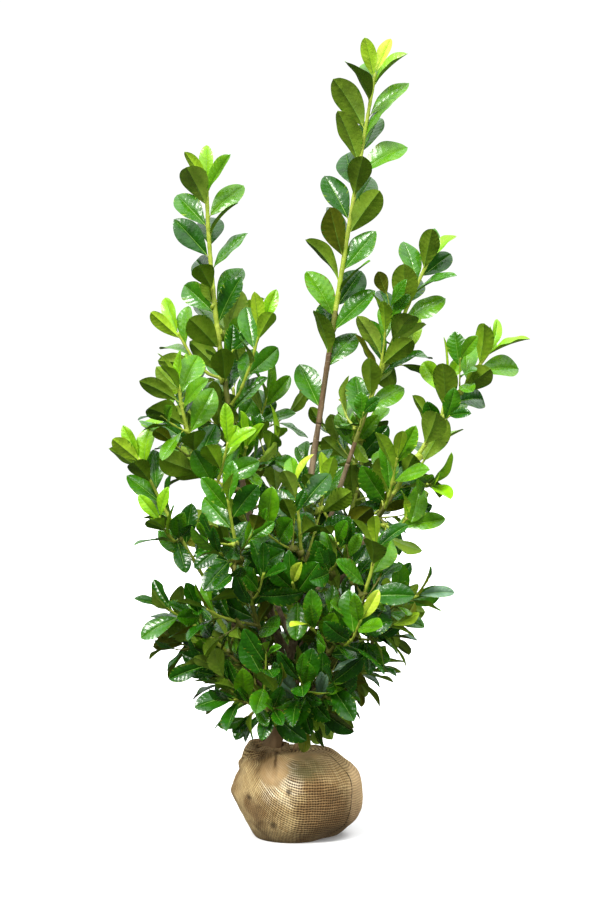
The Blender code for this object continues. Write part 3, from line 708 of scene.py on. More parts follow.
def leaf_material(name, colour, other, roughness, specular, coat):
    """A leaf's skin: two close colours mottled together, and a gloss that varies from place to place."""
    material, n = new_material(name)
    mottled = n.mix(n.ramp(n.noise(55), 0.36, 0.66, kind="LINEAR"), rgb(*colour), rgb(*other))
    darkest = tuple(0.45 * c for c in rgb(*colour))
    n.put(n.shader, {
        "Base Color": n.mix(n.ramp(n.noise(13, 2), 0.34, 0.50, 0.55, 0), mottled, darkest),
        "Roughness": n.ramp(n.noise(130, 2), 0.3, 0.7, roughness - 0.05, roughness + 0.08, "LINEAR"),
        "Specular IOR Level": specular, "Coat Weight": coat, "Coat Roughness": 0.16,
        "Normal": n.bump(0.12 * n.noise(900, 2) + n.noise(120, 2), 0.55, 0.0022)})
    return material


# name: (display colour, its mottling, roughness, specular level, coat)
LEAF_SKINS = {
    "leaf_dark": ((29, 82, 5), (40, 97, 7), 0.22, 0.44, 0.28),
    "leaf_green": ((52, 114, 6), (68, 128, 8), 0.23, 0.50, 0.32),
    "leaf_fresh": ((78, 139, 9), (98, 154, 13), 0.28, 0.45, 0.28),
    "leaf_young": ((120, 180, 12), (140, 192, 22), 0.32, 0.42, 0.25),
    "leaf_yellow": ((176, 204, 40), (190, 212, 70), 0.36, 0.40, 0.25),
    "leaf_dusty": ((92, 130, 96), (118, 150, 122), 0.40, 0.45, 0.20),
    "back_lime": ((164, 206, 36), (178, 214, 56), 0.44, 0.32, 0.10),
    "back_olive": ((104, 138, 24), (118, 148, 34), 0.50, 0.30, 0.04),
    "back_pale": ((130, 164, 46), (146, 174, 58), 0.50, 0.30, 0.04),
    "back_brown": ((94, 106, 10), (106, 114, 16), 0.52, 0.28, 0.04),
    "back_young": ((134, 180, 30), (150, 190, 44), 0.46, 0.32, 0.08),
    "rib_pale": ((108, 156, 48), (128, 172, 66), 0.40, 0.40, 0.10),
    "stalk_green": ((158, 180, 52), (178, 192, 74), 0.42, 0.40, 0.10),
    "stalk_olive": ((112, 122, 44), (130, 126, 58), 0.50, 0.35, 0.05),
}
SKIN_NAMES = tuple(LEAF_SKINS)

MOSS, PORE = rgb(92, 96, 62), rgb(172, 156, 128)
# the bark's lighter foot: partly bleached bark, partly painted light where the crown shades it
BLEACHED_AND_LIT_DARK, BLEACHED_AND_LIT_LIGHT = rgb(118, 88, 58), rgb(190, 156, 114)


def bark_material(name, light, dark):
    """Smooth young bark with fine cracks along it and pale pores across, lighter just above the cloth: partly
    bleached, partly painted light.
    """
    material, n = new_material(name)
    cracks = n.noise(60, 5, 0.65, stretch=(1, 1, 0.16))
    pores = n.ramp(n.noise(190, 2, stretch=(0.45, 0.45, 1.5)), 0.60, 0.70)
    colour = n.mix(n.ramp(cracks, 0.35, 0.68, kind="LINEAR"), dark, light)
    colour = n.mix(0.55 * pores, colour, PORE)
    colour = n.mix(n.ramp(n.noise(14), 0.5, 0.8, 0, 0.45, "LINEAR"), colour, MOSS)
    # painted light, with some bleaching: the trunk's foot is lighter up to this height
    low = n.ramp(n.axes()[2], 0.25, 0.36, 0.95, 0)
    n.put(n.shader, {
        "Base Color": n.mix(low, colour, n.mix(cracks, BLEACHED_AND_LIT_DARK, BLEACHED_AND_LIT_LIGHT)),
        "Roughness": n.ramp(cracks, 0.3, 0.7, 0.86, 0.66, "LINEAR"), "Specular IOR Level": 0.3,
        "Normal": n.bump(cracks + 0.4 * pores, 0.7, 0.0012)})
    return material


SEAM_AZIMUTH = 34  # the hem's meridian, in degrees to the front of +X
WEAVE_PITCH = 0.0062  # from thread to thread
CAKED = (-0.050, -0.115, 0.172)  # the middle of the dusty patch below the trunk
WORN_RIM = (0.014, -0.082, 0.207)  # a smooth place at the top's edge
GLINTS_MIDDLE = (-0.036, -0.138, 0.150)  # the middle of the painted glints, pale threads where light catches the front
STAIN, STAIN_SQUASH = (0.022, -0.100, 0.176), (1.0, 0.45, 1.5)
DIRT_SPOTS = (((-0.054, -0.126, 0.046), 0.009), ((-0.019, -0.152, 0.128), 0.008),
              ((-0.112, -0.100, 0.108), 0.007))


def hessian_material():
    """Plain open weave, mapped in threads: u counts the warp and v the weft, which sweep with the cloth."""
    material, n = new_material("hessian_weave")
    x, y, z = n.axes()
    warp, weft, _ = n.axes(n.add("ShaderNodeUVMap", uv_map="weave"))
    drift = n.ramp(n.noise(26), 0.2, 0.8, -0.55, 0.55, "LINEAR")
    warp, weft = warp + drift, weft + 0.8 * drift
    # each thread's own brightness: noise that hardly changes along it
    by_warp = n.add("ShaderNodeCombineXYZ", {0: n.maths("ROUND", warp), 1: 0.05 * weft})
    by_weft = n.add("ShaderNodeCombineXYZ", {0: 0.05 * warp, 1: n.maths("ROUND", weft)})
    warp_tone, weft_tone = (n.noise(1.7, 1, at=each) for each in (by_warp, by_weft))
    warp_ridge, weft_ridge = (0.5 * n.maths("COSINE", 2 * math.pi * each) + 0.5 for each in (warp, weft))
    over = n.maths("COSINE", math.pi * warp) * n.maths("COSINE", math.pi * weft)
    height = n.maths("MAXIMUM", 0.72 * warp_ridge, weft_ridge) + 0.16 * over
    # how far the weave shows: little where it is caked with dust or worn smooth
    weave = (n.ramp(n.distance(CAKED) + 0.03 * n.noise(34), 0.042, 0.066, 0.18)
             * n.ramp(n.distance(WORN_RIM), 0.024, 0.044, 0.20) * n.ramp(n.noise(9, 2), 0.40, 0.56, 0.72))
    gathered = n.ramp(z, 0.204, 0.213)  # the cloth lies double here, so it is paler and closer
    past_hem = n.ramp(x, 0.116, 0.132)
    holes = n.ramp(0.64 * weft_ridge + 0.36 * warp_ridge, 0.20, 0.76, 1, 0) * weave * (1 - 0.5 * gathered)
    # painted highlight: glints on the raised threads across the front
    painted_glints = n.ramp(n.distance(GLINTS_MIDDLE) + 0.05 * n.noise(30, 4), 0.055, 0.092, 0.75, 0)
    stain = n.ramp(n.distance(STAIN, STAIN_SQUASH), 0.018, 0.060, 0.8, 0)
    # the dashed hem of the overlapped cloth, on one meridian, and painted shade in the crease below the
    # trunk's foot
    from_hem = n.maths("ABSOLUTE", n.maths("ARCTAN2", y, x) + math.radians(SEAM_AZIMUTH + 0.6))
    dashes = n.ramp(n.noise(150, 1, stretch=(0.1, 0.1, 1)), 0.38, 0.50, 0.50)
    from_crease = n.maths("ABSOLUTE", x + 0.0793 - 0.15 * z) + 0.007 * n.noise(120)
    layers = [  # (share, display colour), each laid over those before it
        (n.ramp(n.noise(9, 4), 0.42, 0.60, 0, 0.7), (124, 88, 48)),  # worn
        (n.ramp(x + 0.10 * n.noise(11), 0.07, 0.13, 0, 0.38) * (1 - past_hem), (112, 82, 50)),  # in shade
        (0.65 * past_hem, (206, 172, 130)),
        # painted glints on the raised threads
        (painted_glints * n.ramp(weft_tone, 0.42, 0.60, 0.35, 1, "LINEAR"), (250, 236, 204)),
        (n.ramp(weave, 0.25, 0.7, 0.85, 0), (176, 144, 98)),  # dust
        (0.5 * gathered, (214, 184, 140)),
        (holes * (0.95 - 0.5 * past_hem), (58, 38, 20)),
        (n.ramp(n.noise(16, 5, 0.7), 0.60, 0.76, 0, 0.75), (78, 56, 34)),  # soil
        (stain * n.ramp(n.noise(40), 0.3, 0.6, 0.35, 1, "LINEAR"), (96, 94, 58)),
        (n.ramp(z + 0.03 * n.noise(22), 0.012, 0.050, 0.55, 0), (72, 52, 30)),  # darker towards the bottom
        (n.ramp(from_hem, 0.012, 0.028, 0.95, 0) * dashes, (42, 30, 18)),
        # painted shade in the crease below the trunk's foot
        (n.ramp(from_crease, 0.004, 0.0095, 0.85, 0) * n.ramp(z, 0.172, 0.186)
         * n.ramp(y, -0.062, -0.040, 1, 0), (74, 54, 32)),
    ]
    for spot, reach in DIRT_SPOTS:
        ragged = n.distance(spot) + 0.012 * n.noise(190)
        layers.append((n.ramp(ragged, reach, 2.2 * reach, 0.85, 0), (50, 36, 22)))
    colour = n.mix(0.9 * (warp_tone + weft_tone) - 0.35, rgb(156, 120, 68), rgb(240, 214, 154))
    for share, shown in layers:
        colour = n.mix(share, colour, rgb(*shown))
    n.put(n.shader, {
        "Base Color": colour, "Roughness": 0.94, "Specular IOR Level": 0.15, "Sheen Weight": 0.18,
        "Sheen Tint": (0.95, 0.72, 0.42), "Sheen Roughness": 0.6,
        "Normal": n.bump(height * weave, 1, 0.0014)})
    return material


# ---------------------------------------------------------------- meshes from arrays
class Pile:
    """Vertices, faces and each face's material, gathered for one mesh."""

    def __init__(self):
        self.points, self.faces, self.kinds, self.sharp, self.count = [], [], [], [], 0

    def add(self, points, faces, kinds, sharp=None):
        """faces are arrays of equal-sided faces, kinds their materials, sharp each sharp rim's points."""
        for block, kind in zip(faces, kinds):
            self.faces.append(block + self.count)
            self.kinds.append(np.broadcast_to(kind, len(block)))
        self.points.append(points)
        self.sharp.append(np.zeros(len(points), np.int8) if sharp is None else sharp)
        self.count += len(points)

    def build(self, name, materials):
        points = np.concatenate(self.points).astype(np.float32)
        totals = np.concatenate([np.full(len(block), block.shape[1]) for block in self.faces])
        corners = np.concatenate([block.ravel() for block in self.faces]).astype(np.int32)
        starts = np.concatenate([[0], np.cumsum(totals)[:-1]]).astype(np.int32)
        mesh = bpy.data.meshes.new(name)
        mesh.vertices.add(len(points))
        mesh.vertices.foreach_set("co", points.ravel())
        mesh.loops.add(len(corners))
        mesh.loops.foreach_set("vertex_index", corners)
        mesh.polygons.add(len(totals))
        mesh.polygons.foreach_set("loop_start", starts)
        mesh.polygons.foreach_set("material_index", np.concatenate(self.kinds).astype(np.int32))
        mesh.polygons.foreach_set("use_smooth", np.ones(len(totals), bool))
        mesh.update(calc_edges=True)
        rim = np.concatenate(self.sharp)
        if rim.any():
            ends = np.empty(len(mesh.edges) * 2, np.int32)
            mesh.edges.foreach_get("vertices", ends)
            ends = rim[ends.reshape(-1, 2)]
            flags = mesh.attributes.new("sharp_edge", "BOOLEAN", "EDGE")
            flags.data.foreach_set("value", (ends[:, 0] > 0) & (ends[:, 0] == ends[:, 1]))
        for each in materials:
            mesh.materials.append(each)
        mesh.validate()
        return add_object(name, mesh)


def add_object(name, data):
    made = bpy.data.objects.new(name, data)
    bpy.context.scene.collection.objects.link(made)
    return made


def xyz(vector):
    return np.array(tuple(vector))


def tube_blocks(rings, sides):
    """A tube's faces as arrays: (those of its side, its two ends)."""
    faces = tube_faces(rings, sides)
    return np.array(faces[:-2]), np.array(faces[-2:])


# ---------------------------------------------------------------- leaf meshes
VEINS = 9  # side veins on each half of a leaf
ROWS_A_VEIN = 3
CHEVRON = 0.15  # how far a side vein runs forward, as a share of the blade
RELIEF = 0.00125  # how far the blade stands up between its veins
SKIN = 0.0004  # half the blade's thickness
RIB_HALF, RIB_TAPER = 0.0010, 0.0008
RIB_GROOVE, RIB_RIDGE = 0.0006, 0.0011
STALK_RADIUS = 0.0013
STALK_DROP = 0.0006  # the stalk's axis lies this far below the blade
STALK_SIDES = 6
# (share of the leaf's length, radius against STALK_RADIUS): swollen where it leaves the stem
STALK_RINGS = ((-0.01, 1.5), (0.035, 1.45), (0.065, 1.0), (PETIOLE + 0.02, 0.85), (PETIOLE + 0.09, 0.35))

# The points across the upper face from one edge to the other: (side, share of the half outside the midrib)
UPPER = ((-1, 1.0), (-1, 0.68), (-1, 0.34), (-1, 0.0), (0, 0.0), (1, 0.0), (1, 0.34), (1, 0.68), (1, 1.0))
LOWER = ((-1, 0.5), (-1, 0.0), (0, 0.0), (1, 0.0), (1, 0.5))  # and across the lower face between those edges
UPPER_RIB, LOWER_RIB = (3, 4), (2, 3)  # which steps across are the midrib's


def strip(pairs, rows, wide, ribs):
    """A strip's faces between pairs of points, row by row: [those beside the midrib, the midrib's]."""
    found = [], []
    for row in range(rows - 1):
        here, there = row * wide, (row + 1) * wide
        for k, (a, b) in enumerate(pairs):
            found[k in ribs].append((here + a, here + b, there + b, there + a))
    return [np.array(faces) for faces in found]


def leaf_pattern():
    """The points and faces that every leaf has, and which points lie on its two sharp edges."""
    rows = VEINS * ROWS_A_VEIN + 1
    last, wide = len(UPPER) - 1, len(UPPER) + len(LOWER)
    place = []
    for row in range(rows):
        along = row / (rows - 1)
        between = 0 if row % ROWS_A_VEIN == 0 else 1
        place += [(along, side, share, between, 1 if share < 1 else 0) for side, share in UPPER]
        place += [(along, side, share, between, -1) for side, share in LOWER]
    under = [0, *range(last + 1, wide), last]
    faces = strip([(k, k + 1) for k in range(last)], rows, wide, UPPER_RIB)
    faces += strip(list(zip(under[1:], under)), rows, wide, LOWER_RIB)
    ring = np.array([[*range(last + 1), *reversed(range(last + 1, wide))]])
    rim = np.zeros(len(place), np.int8)
    rim[0::wide] = 1
    rim[last::wide] = 2
    return np.array(place), [*faces, ring[:, ::-1], ring + (rows - 1) * wide], rim


PATTERN, PATTERN_FACES, PATTERN_RIM = leaf_pattern()


def half_width(along, roundness):
    """Half the blade's width as a share of its widest, with a rounded end and a short drip point."""
    body = np.maximum(np.sin(np.pi * np.clip(along, 0, 1) ** 1.28), 0) ** roundness
    taper = np.clip((1 - along) / 0.045, 0, 1)
    return body * (0.25 + 0.75 * taper ** 0.7)


def bent(leaf, share):
    """The leaf's midrib line at shares of its length, as columns: (places, normals)."""
    bend = leaf.curl * np.asarray(share)[:, None]
    root, ahead, up = xyz(leaf.root), xyz(leaf.along), xyz(leaf.up)
    reach, drop = (leaf.length * each / leaf.curl for each in (np.sin(bend), 1 - np.cos(bend)))
    return root + ahead * reach - up * drop, up * np.cos(bend) + ahead * np.sin(bend)


def leaf_mesh(leaf, rng, pile, kinds):
    """Adds one leaf: a blade folded along its midrib, with quilted veins, a wavy edge and a stalk."""
    along, side, share, between, face = PATTERN.T
    forward = along + CHEVRON * 4 * along * (1 - along) * share ** 1.2
    place = PETIOLE + (1 - PETIOLE) * forward
    half = leaf.width / 2 * 1.04 * half_width(forward, rng.uniform(0.62, 0.80))
    rib = np.minimum((RIB_HALF - RIB_TAPER * forward) * leaf.length / LEAF_LENGTH, half * 0.9 + 0.0001)
    out = np.abs(side) * (rib + np.maximum(half - rib, 0) * share)
    # heights over the leaf's own surface: quilting, thickness, midrib, the blade's hollow and its waves
    dome = 0.25 * (1 - share) + 0.85 * np.sin(np.pi * share ** 0.62)
    dome = np.where((side == 0) | (share == 1), 0, dome)
    fade = np.clip(forward / 0.12, 0, 1) * np.clip((1 - forward) / 0.10, 0, 1)
    up = RELIEF * rng.uniform(0.6, 1.4) * between * dome * fade + face * SKIN
    up -= np.where((side == 0) & (face > 0), RIB_GROOVE * (1 - 0.6 * forward), 0)
    up -= np.where((side == 0) & (face < 0), RIB_RIDGE * (1 - 0.7 * forward), 0)
    up -= rng.uniform(0.8, 3.2) * out ** 2 * np.sign(rng.uniform(-0.25, 1))
    waves = rng.uniform(1.1, 2.1)
    lean = rng.uniform(0, 2 * math.pi)
    wave = np.sin(2 * np.pi * waves * forward + lean + side * rng.uniform(0.4, 1.4))
    up += rng.uniform(0.0008, 0.0030) * wave * (out / (leaf.width / 2)) ** 2 * fade
    # the fold, a twist about the midrib, and a sideways bend
    twist = rng.uniform(-0.28, 0.28) * place
    sickle = rng.uniform(-0.05, 0.05) * leaf.length * place ** 2
    fold = leaf.fold * (1 - 0.25 * place)
    flat, rise = np.sign(side) * out * np.cos(fold), out * np.sin(fold) + up
    x = flat * np.cos(twist) - rise * np.sin(twist) + sickle
    y = flat * np.sin(twist) + rise * np.cos(twist)
    middle, normal = bent(leaf, place)
    points = middle + xyz(leaf.across) * x[:, None] + normal * y[:, None]
    blade_kind, back_kind, rib_kind, stalk_kind = kinds
    blocks = (blade_kind, rib_kind, back_kind, rib_kind, back_kind, back_kind)
    pile.add(points, PATTERN_FACES, blocks, PATTERN_RIM)
    add_stalk(leaf, stalk_kind, pile)


def add_stalk(leaf, kind, pile):
    """The leaf's stalk, from inside its stem to the blade's foot."""
    turns = np.arange(STALK_SIDES) * 2 * np.pi / STALK_SIDES
    size = 0.55 + 0.45 * leaf.length / LEAF_LENGTH
    points = []
    for (_, stout), centre, normal in zip(STALK_RINGS, *bent(leaf, [share for share, _ in STALK_RINGS])):
        ring = np.outer(np.cos(turns), xyz(leaf.across)) + np.outer(np.sin(turns), normal)
        points.append(centre - normal * STALK_DROP + STALK_RADIUS * stout * size * ring)
    pile.add(np.concatenate(points), tube_blocks(len(STALK_RINGS), STALK_SIDES), (kind, kind))


BRIGHT_TIPS = ("leader", "left_tall", "left_outer", "right_outer", "left_mid")
YELLOW_TIPS = ("leader", "front_mid", "front_right")
# sprays whose leaves get lighter skins: painted light
SUNLIT = ("leader", "right_mid", "right_outer", "left_outer", "left_mid", "front_right", "low_right")
DUSTY = ("low_right", "low_right_back", "low_front")


def skins_for(leaf, mass, fine, rng):
    """The skins of one leaf, by how old it is and where its spray stands, with painted light and shade:
    (blade, back, rib, stalk).
    """
    height = leaf.root.z
    tip_spray = mass.name in BRIGHT_TIPS
    young, fresh = (3, 6) if tip_spray else (1, 3)
    dice = rng.random()
    stalk = "stalk_green"
    if not fine and leaf.age == 0 and mass.name in YELLOW_TIPS:
        # the newest leaf at these tips: a lime blade, and a lime back that is partly painted light shining
        # through it
        blade, back = "leaf_yellow", "back_lime"
    elif not fine and leaf.age < young and height > (0.5 if tip_spray else 0.9):
        blade = "leaf_young" if dice < 0.80 else "leaf_fresh"
        back = "back_lime" if leaf.age < 2 and tip_spray else "back_young"
    elif not fine and leaf.age < fresh and height > (0.5 if tip_spray else 0.7):
        blade = "leaf_fresh" if dice < 0.55 else "leaf_green"
        back = "back_young" if leaf.age < young + 1 else "back_pale" if rng.random() < 0.6 else "back_olive"
    else:
        # painted light and shade: lighter blades on the lit sprays, more dark ones low in the crown
        lit = 0.22 if mass.name in SUNLIT else -0.04
        blade = "leaf_dark" if dice < (0.72 if height < 0.9 else 0.54) - lit else "leaf_green"
        if dice > 0.95 - 0.8 * max(lit, 0):
            blade = "leaf_fresh"
        if mass.name in DUSTY and dice < 0.10:
            blade = "leaf_dusty"
        # more brown backs low in the crown: partly older leaves, partly painted shade
        brown = 0.30 if height < 0.75 else 0.08
        chance = rng.random()
        back = "back_brown" if chance < brown else "back_olive" if chance < 0.82 else "back_pale"
        stalk = "stalk_green" if height > 0.8 else "stalk_olive"
    return [SKIN_NAMES.index(name) for name in (blade, back, "rib_pale", stalk)]


# ---------------------------------------------------------------- shoots, trunk and boughs
PATH_STEP = 0.006
LEAF_SWELLING = 0.0005


def lengths_along(points):
    """How far along a line of points each of them lies."""
    return np.concatenate([[0], np.cumsum(np.linalg.norm(np.diff(points, axis=0), axis=1))])


def eased(stem, low, high, ease, stouter, over):
    """(path, shares of the stem, radii) of a stem between two shares, read at even steps.

    Its corners are eased by a short running mean. Its foot is stouter, by a share that fades over a length."""
    knots = np.array([xyz(stem.at(share)) for share in stem.shares(low, high)])
    lengths = lengths_along(knots)
    total = lengths[-1]
    at = np.linspace(0, total, max(int(total / PATH_STEP), 3) + 1)
    reach = np.minimum(np.minimum(at, total - at), ease)
    path = sum(np.stack([np.interp(at + reach * k, lengths, knots[:, i]) for i in range(3)], axis=1)
               for k in (-1, -0.5, 0, 0.5, 1)) / 5
    shares = low + (high - low) * at / total
    radii = np.array([stem.radius(share) for share in shares]) * (1 + stouter * np.exp(-at / over))
    return path, shares, radii


def swept(points, radii, sides, turn_bump=None):
    """The points of a round tube. turn_bump(ring, turns) gives what each point's radius is multiplied by."""
    tangents = np.gradient(points, axis=0)
    tangents /= np.linalg.norm(tangents, axis=1)[:, None]
    across = np.cross(tangents[0], xyz(SIDE_HINT))
    turns = np.arange(sides) * 2 * np.pi / sides
    rings = []
    for k, tangent in enumerate(tangents):
        across = across - tangent * (across @ tangent)
        across = across / np.linalg.norm(across)
        third = np.cross(tangent, across)
        more = 1 if turn_bump is None else turn_bump(k, turns)[:, None]
        ring = radii[k] * more * (np.outer(np.cos(turns), across) + np.outer(np.sin(turns), third))
        rings.append(points[k] + ring)
    return np.concatenate(rings)


def add_shoot(stem, low, leaves, sides, pile, kind_at, stouter=0.25):
    """A green shoot, a little swollen at each leaf. kind_at(share, height) picks each ring's material."""
    path, shares, radii = eased(stem, low, 1, 0.009, stouter, 0.008)
    for leaf in leaves:
        spot = np.argmin(np.sum((path - xyz(leaf.root)) ** 2, axis=1))
        radii[spot:spot + 2] += LEAF_SWELLING
    radii[-1] *= 0.4
    kinds = np.repeat([kind_at(share, z) for share, z in zip(shares, path[:-1, 2])], sides)
    pile.add(swept(path, radii, sides), tube_blocks(len(path), sides), (kinds, [kinds[0], kinds[-1]]))


def bark_limb(path, radii, sides, pile, seed, flare_lobes=0.0, level=0.0):
    """A limb with knots, ridges and, at the trunk's foot, the lobes of its roots."""
    climbed = lengths_along(path)

    def relief(ring, turns):
        up = climbed[ring]
        found = []
        for turn in turns:
            x, y = math.cos(turn), math.sin(turn)
            knots = 0.12 * noise.noise(Vector((x * 1.3, y * 1.3, up * 14 + seed)))
            ridges = 0.07 * noise.noise(Vector((x * 4.0, y * 4.0, up * 60 + seed)))
            lobes = math.cos(4 * turn + 0.7) * flare_lobes * math.exp(-up / 0.02)
            found.append(1 + knots + ridges + lobes)
        return np.array(found)

    points = swept(path, radii, sides, relief)
    points[:, 2] = np.maximum(points[:, 2], level)
    pile.add(points, tube_blocks(len(path), sides), (0, 0))


# ---------------------------------------------------------------- the root ball's cloth
WARP_THREADS = 150  # round the ball
ROUND_LENGTH = WARP_THREADS * WEAVE_PITCH
SWEEP_FROM, SWEEP_OVER = 0.020, 0.34  # where round the ball the weft begins its climb, and over how much
SWEEP_RISE = 44 * WEAVE_PITCH  # how far it climbs
BALL_ROUND = 440
BALL_UNDER_ROWS, BALL_SIDE_ROWS, BALL_TOP_ROWS = 10, 116, 34
TUCK, TUCK_HEIGHT, TUCK_AZIMUTH = 0.17, 0.045, -38  # the cloth tucked in under the ball at the front right


def smooth_step(value):
    value = np.clip(value, 0, 1)
    return value * value * (3 - 2 * value)


def hump(value, centre, wide):
    return np.exp(-((value - centre) / wide) ** 2)


def noise_over(points, scale, seed):
    shift = Vector((seed, 0, 0))
    found = [noise.noise(Vector(point) * scale + shift) for point in points.reshape(-1, 3)]
    return np.array(found).reshape(points.shape[:-1])


def weave_map(azimuth, rise):
    """The cloth's own coordinates, in threads. Its weft climbs to the left round the front of the ball."""
    around = np.radians(azimuth + 90) * ROUND_LENGTH / (2 * np.pi)
    away = np.clip(SWEEP_FROM - around, 0, SWEEP_OVER)
    climb = SWEEP_RISE * np.sin(np.pi * away / (2 * SWEEP_OVER)) ** 2
    slope = SWEEP_RISE * np.pi / (2 * SWEEP_OVER) * np.sin(np.pi * away / SWEEP_OVER)
    warp = around - 0.4 * slope * (np.clip(rise, 0, 0.25) - 0.12)
    return warp / WEAVE_PITCH, (rise - climb) / WEAVE_PITCH


def cloth_displacement(points, azimuth):
    """How far the cloth stands out from the ball: lumps of soil, pleats, a fold, a crease and the hem."""
    x, y, z = points[..., 0], points[..., 1], points[..., 2]
    out = sum(much * noise_over(points, scale, seed)
              for much, scale, seed in ((0.0034, 17, 3.1), (0.0016, 42, 8.4), (0.0005, 130, 1.7)))
    # pleats that run in to the trunk's foot
    x_off, y_off, z_off = x - TRUNK_FOOT.x, y - TRUNK_FOOT.y, z - TRUNK_FOOT.z
    from_foot = np.sqrt(x_off ** 2 + y_off ** 2 + (1.3 * z_off) ** 2)
    angle = np.arctan2(y_off, x_off)
    waver = 1.4 * noise_over(points, 20, 5.5)
    pleat = np.abs(np.cos(4.5 * angle + waver)) ** 0.7 - 0.55
    fine_pleat = np.abs(np.cos(9.5 * angle - 1.3 * waver + 0.8)) ** 0.8 - 0.6
    out += smooth_step((z - 0.125) / 0.05) * (0.0055 * pleat * hump(from_foot, 0.055, 0.034)
                                              + 0.0026 * fine_pleat * hump(from_foot, 0.045, 0.03))
    # a fold of cloth pulled up at the left, round a dark hollow
    hollow = np.sqrt((x + 0.090) ** 2 + (0.8 * (y + 0.052)) ** 2 + (1.1 * (z - 0.192)) ** 2)
    out += 0.0040 * hump(hollow, 0.026, 0.0095) - 0.004 * hump(hollow, 0, 0.014)
    # a crease that runs down the front from the trunk's foot
    front = smooth_step((-y - 0.03) / 0.03)
    line = -0.053 + 0.15 * (z - 0.175)
    out -= front * 0.0075 * hump(x, line, 0.0055) * hump(z, 0.172, 0.020)
    out += front * 0.0035 * hump(x, line + 0.013, 0.007) * hump(z, 0.172, 0.024)
    # soft dents, and a pulled ridge across the front
    out -= 0.0050 * front * hump(x, -0.045, 0.030) * hump(z, 0.137, 0.018)
    out += 0.0030 * front * hump(z - 0.35 * x, 0.128, 0.016) * smooth_step((0.09 - np.abs(x + 0.02)) / 0.05)
    # the hem, where the cloth laps over itself
    past = azimuth + SEAM_AZIMUTH
    lap = 0.0016 * hump(past, -1.0, 1.0) - 0.0012 * smooth_step(past / 0.8) * smooth_step((40 - past) / 20)
    return out + smooth_step((0.190 - z) / 0.03) * smooth_step(z / 0.02) * lap


def add_cloth(name, points, warp, weft, ends, material):
    """A mesh from a grid of points whose first and last columns are the same, with its map in threads."""
    rows, columns = points.shape[0], points.shape[1] - 1
    walls, _ = tube_blocks(rows, columns)
    pile = Pile()
    pile.add(points[:, :-1].reshape(-1, 3), [walls, ends], (0, 0))
    made = pile.build(name, [material])
    i, k = np.divmod(np.arange(len(walls)), columns)
    corners = ((i, k), (i, k + 1), (i + 1, k + 1), (i + 1, k))
    uv = np.zeros((len(made.data.loops), 2), np.float32)
    uv[:walls.size, 0] = np.stack([warp[at] for at in corners], axis=1).ravel()
    uv[:walls.size, 1] = np.stack([weft[at] for at in corners], axis=1).ravel()
    made.data.uv_layers.new(name="weave").data.foreach_set("uv", uv.ravel())
    return made


def ball_cloth(material):
    """The hessian round the ball: rings from the middle of the underside up the side to the trunk's foot."""
    azimuth = -270 + 360 * np.arange(BALL_ROUND + 1) / BALL_ROUND
    turn = np.radians(azimuth)
    heights = BALL_SEAT * (1 - np.cos(np.pi * np.linspace(0, 1, BALL_SIDE_ROWS) ** 0.9)) / 2
    rows = [(0.0, (k + 0.02) / BALL_UNDER_ROWS, 0.0) for k in range(BALL_UNDER_ROWS)]
    rows += [(height, 1.0, 0.0) for height in heights]
    rows += [(BALL_SEAT, 1.0, (k + 1) / BALL_TOP_ROWS * 0.985) for k in range(BALL_TOP_ROWS)]
    points = np.empty((len(rows), BALL_ROUND + 1, 3))
    for i, (height, share, pull) in enumerate(rows):
        low = np.clip(1 - height / TUCK_HEIGHT, 0, 1) ** 2
        out = ball_radius(height, azimuth) * share * (1 - TUCK * low * hump(azimuth, TUCK_AZIMUTH, 34))
        points[i, :, 0] = out * np.cos(turn) * (1 - pull) + TRUNK_FOOT.x * pull
        points[i, :, 1] = out * np.sin(turn) * (1 - pull) + TRUNK_FOOT.y * pull
        points[i, :, 2] = height
    # ease the corner where the top meets the side
    corner = BALL_UNDER_ROWS + BALL_SIDE_ROWS
    first, last = corner - 16, corner + 12
    for _ in range(60):
        middle = points[first:last]
        around = (points[first - 1:last - 1] + points[first + 1:last + 1]) / 2
        points[first:last] = middle + 0.5 * (around - middle)
    along = np.gradient(points, axis=1)
    along[:, 0] = along[:, -1] = (along[:, 0] + along[:, -1]) / 2
    normal = np.cross(along, np.gradient(points, axis=0))
    normal /= np.maximum(np.linalg.norm(normal, axis=2), 1e-9)[..., None]
    out = cloth_displacement(points, azimuth[None, :])
    out[:, -1] = out[:, 0]
    rise = lengths_along(points[:, BALL_ROUND // 2])
    rise -= rise[BALL_UNDER_ROWS]
    grounded = smooth_step(points[..., 2] / 0.014)
    points = points + normal * (out * grounded)[..., None]
    points[:, -1] = points[:, 0]
    points[..., 2] = np.maximum(points[..., 2], 0)
    warp, weft = weave_map(*np.broadcast_arrays(azimuth, rise[:, None]))
    _, ends = tube_blocks(len(rows), BALL_ROUND)
    return add_cloth("hessian_ball", points, warp, weft, ends, material)


COLLAR_ROUND = 144
COLLAR_THREADS = 1.6 * 0.0385 * 2 * np.pi / WEAVE_PITCH  # round it: 1.6 girths of cloth are gathered in one
GAPE = 0.75  # how much farther from the trunk the cloth's edge stands at the left
# The gathered cloth from its foot over its edge and down inside: (radius, height above the ball's top, how
# strongly the pleats show, share of the gape, how far it drops at the left)
PROFILE = (
    (0.052, -0.010, 0.7, 0.45, 0.024), (0.047, -0.002, 0.9, 0.60, 0.018), (0.042, 0.004, 1.0, 0.75, 0.010),
    (0.0385, 0.009, 1.0, 0.85, 0.004), (0.036, 0.014, 1.1, 0.90, 0), (0.0345, 0.018, 1.3, 1, 0),
    (0.0335, 0.021, 1.5, 1, 0), (0.0318, 0.0225, 1.5, 1, 0), (0.0300, 0.021, 1.3, 1, 0),
    (0.0285, 0.016, 1.0, 0.9, 0), (0.0270, 0.010, 0.7, 0.6, 0), (0.0255, 0.002, 0.4, 0.3, 0),
    (0.0240, -0.007, 0.2, 0, 0),
)


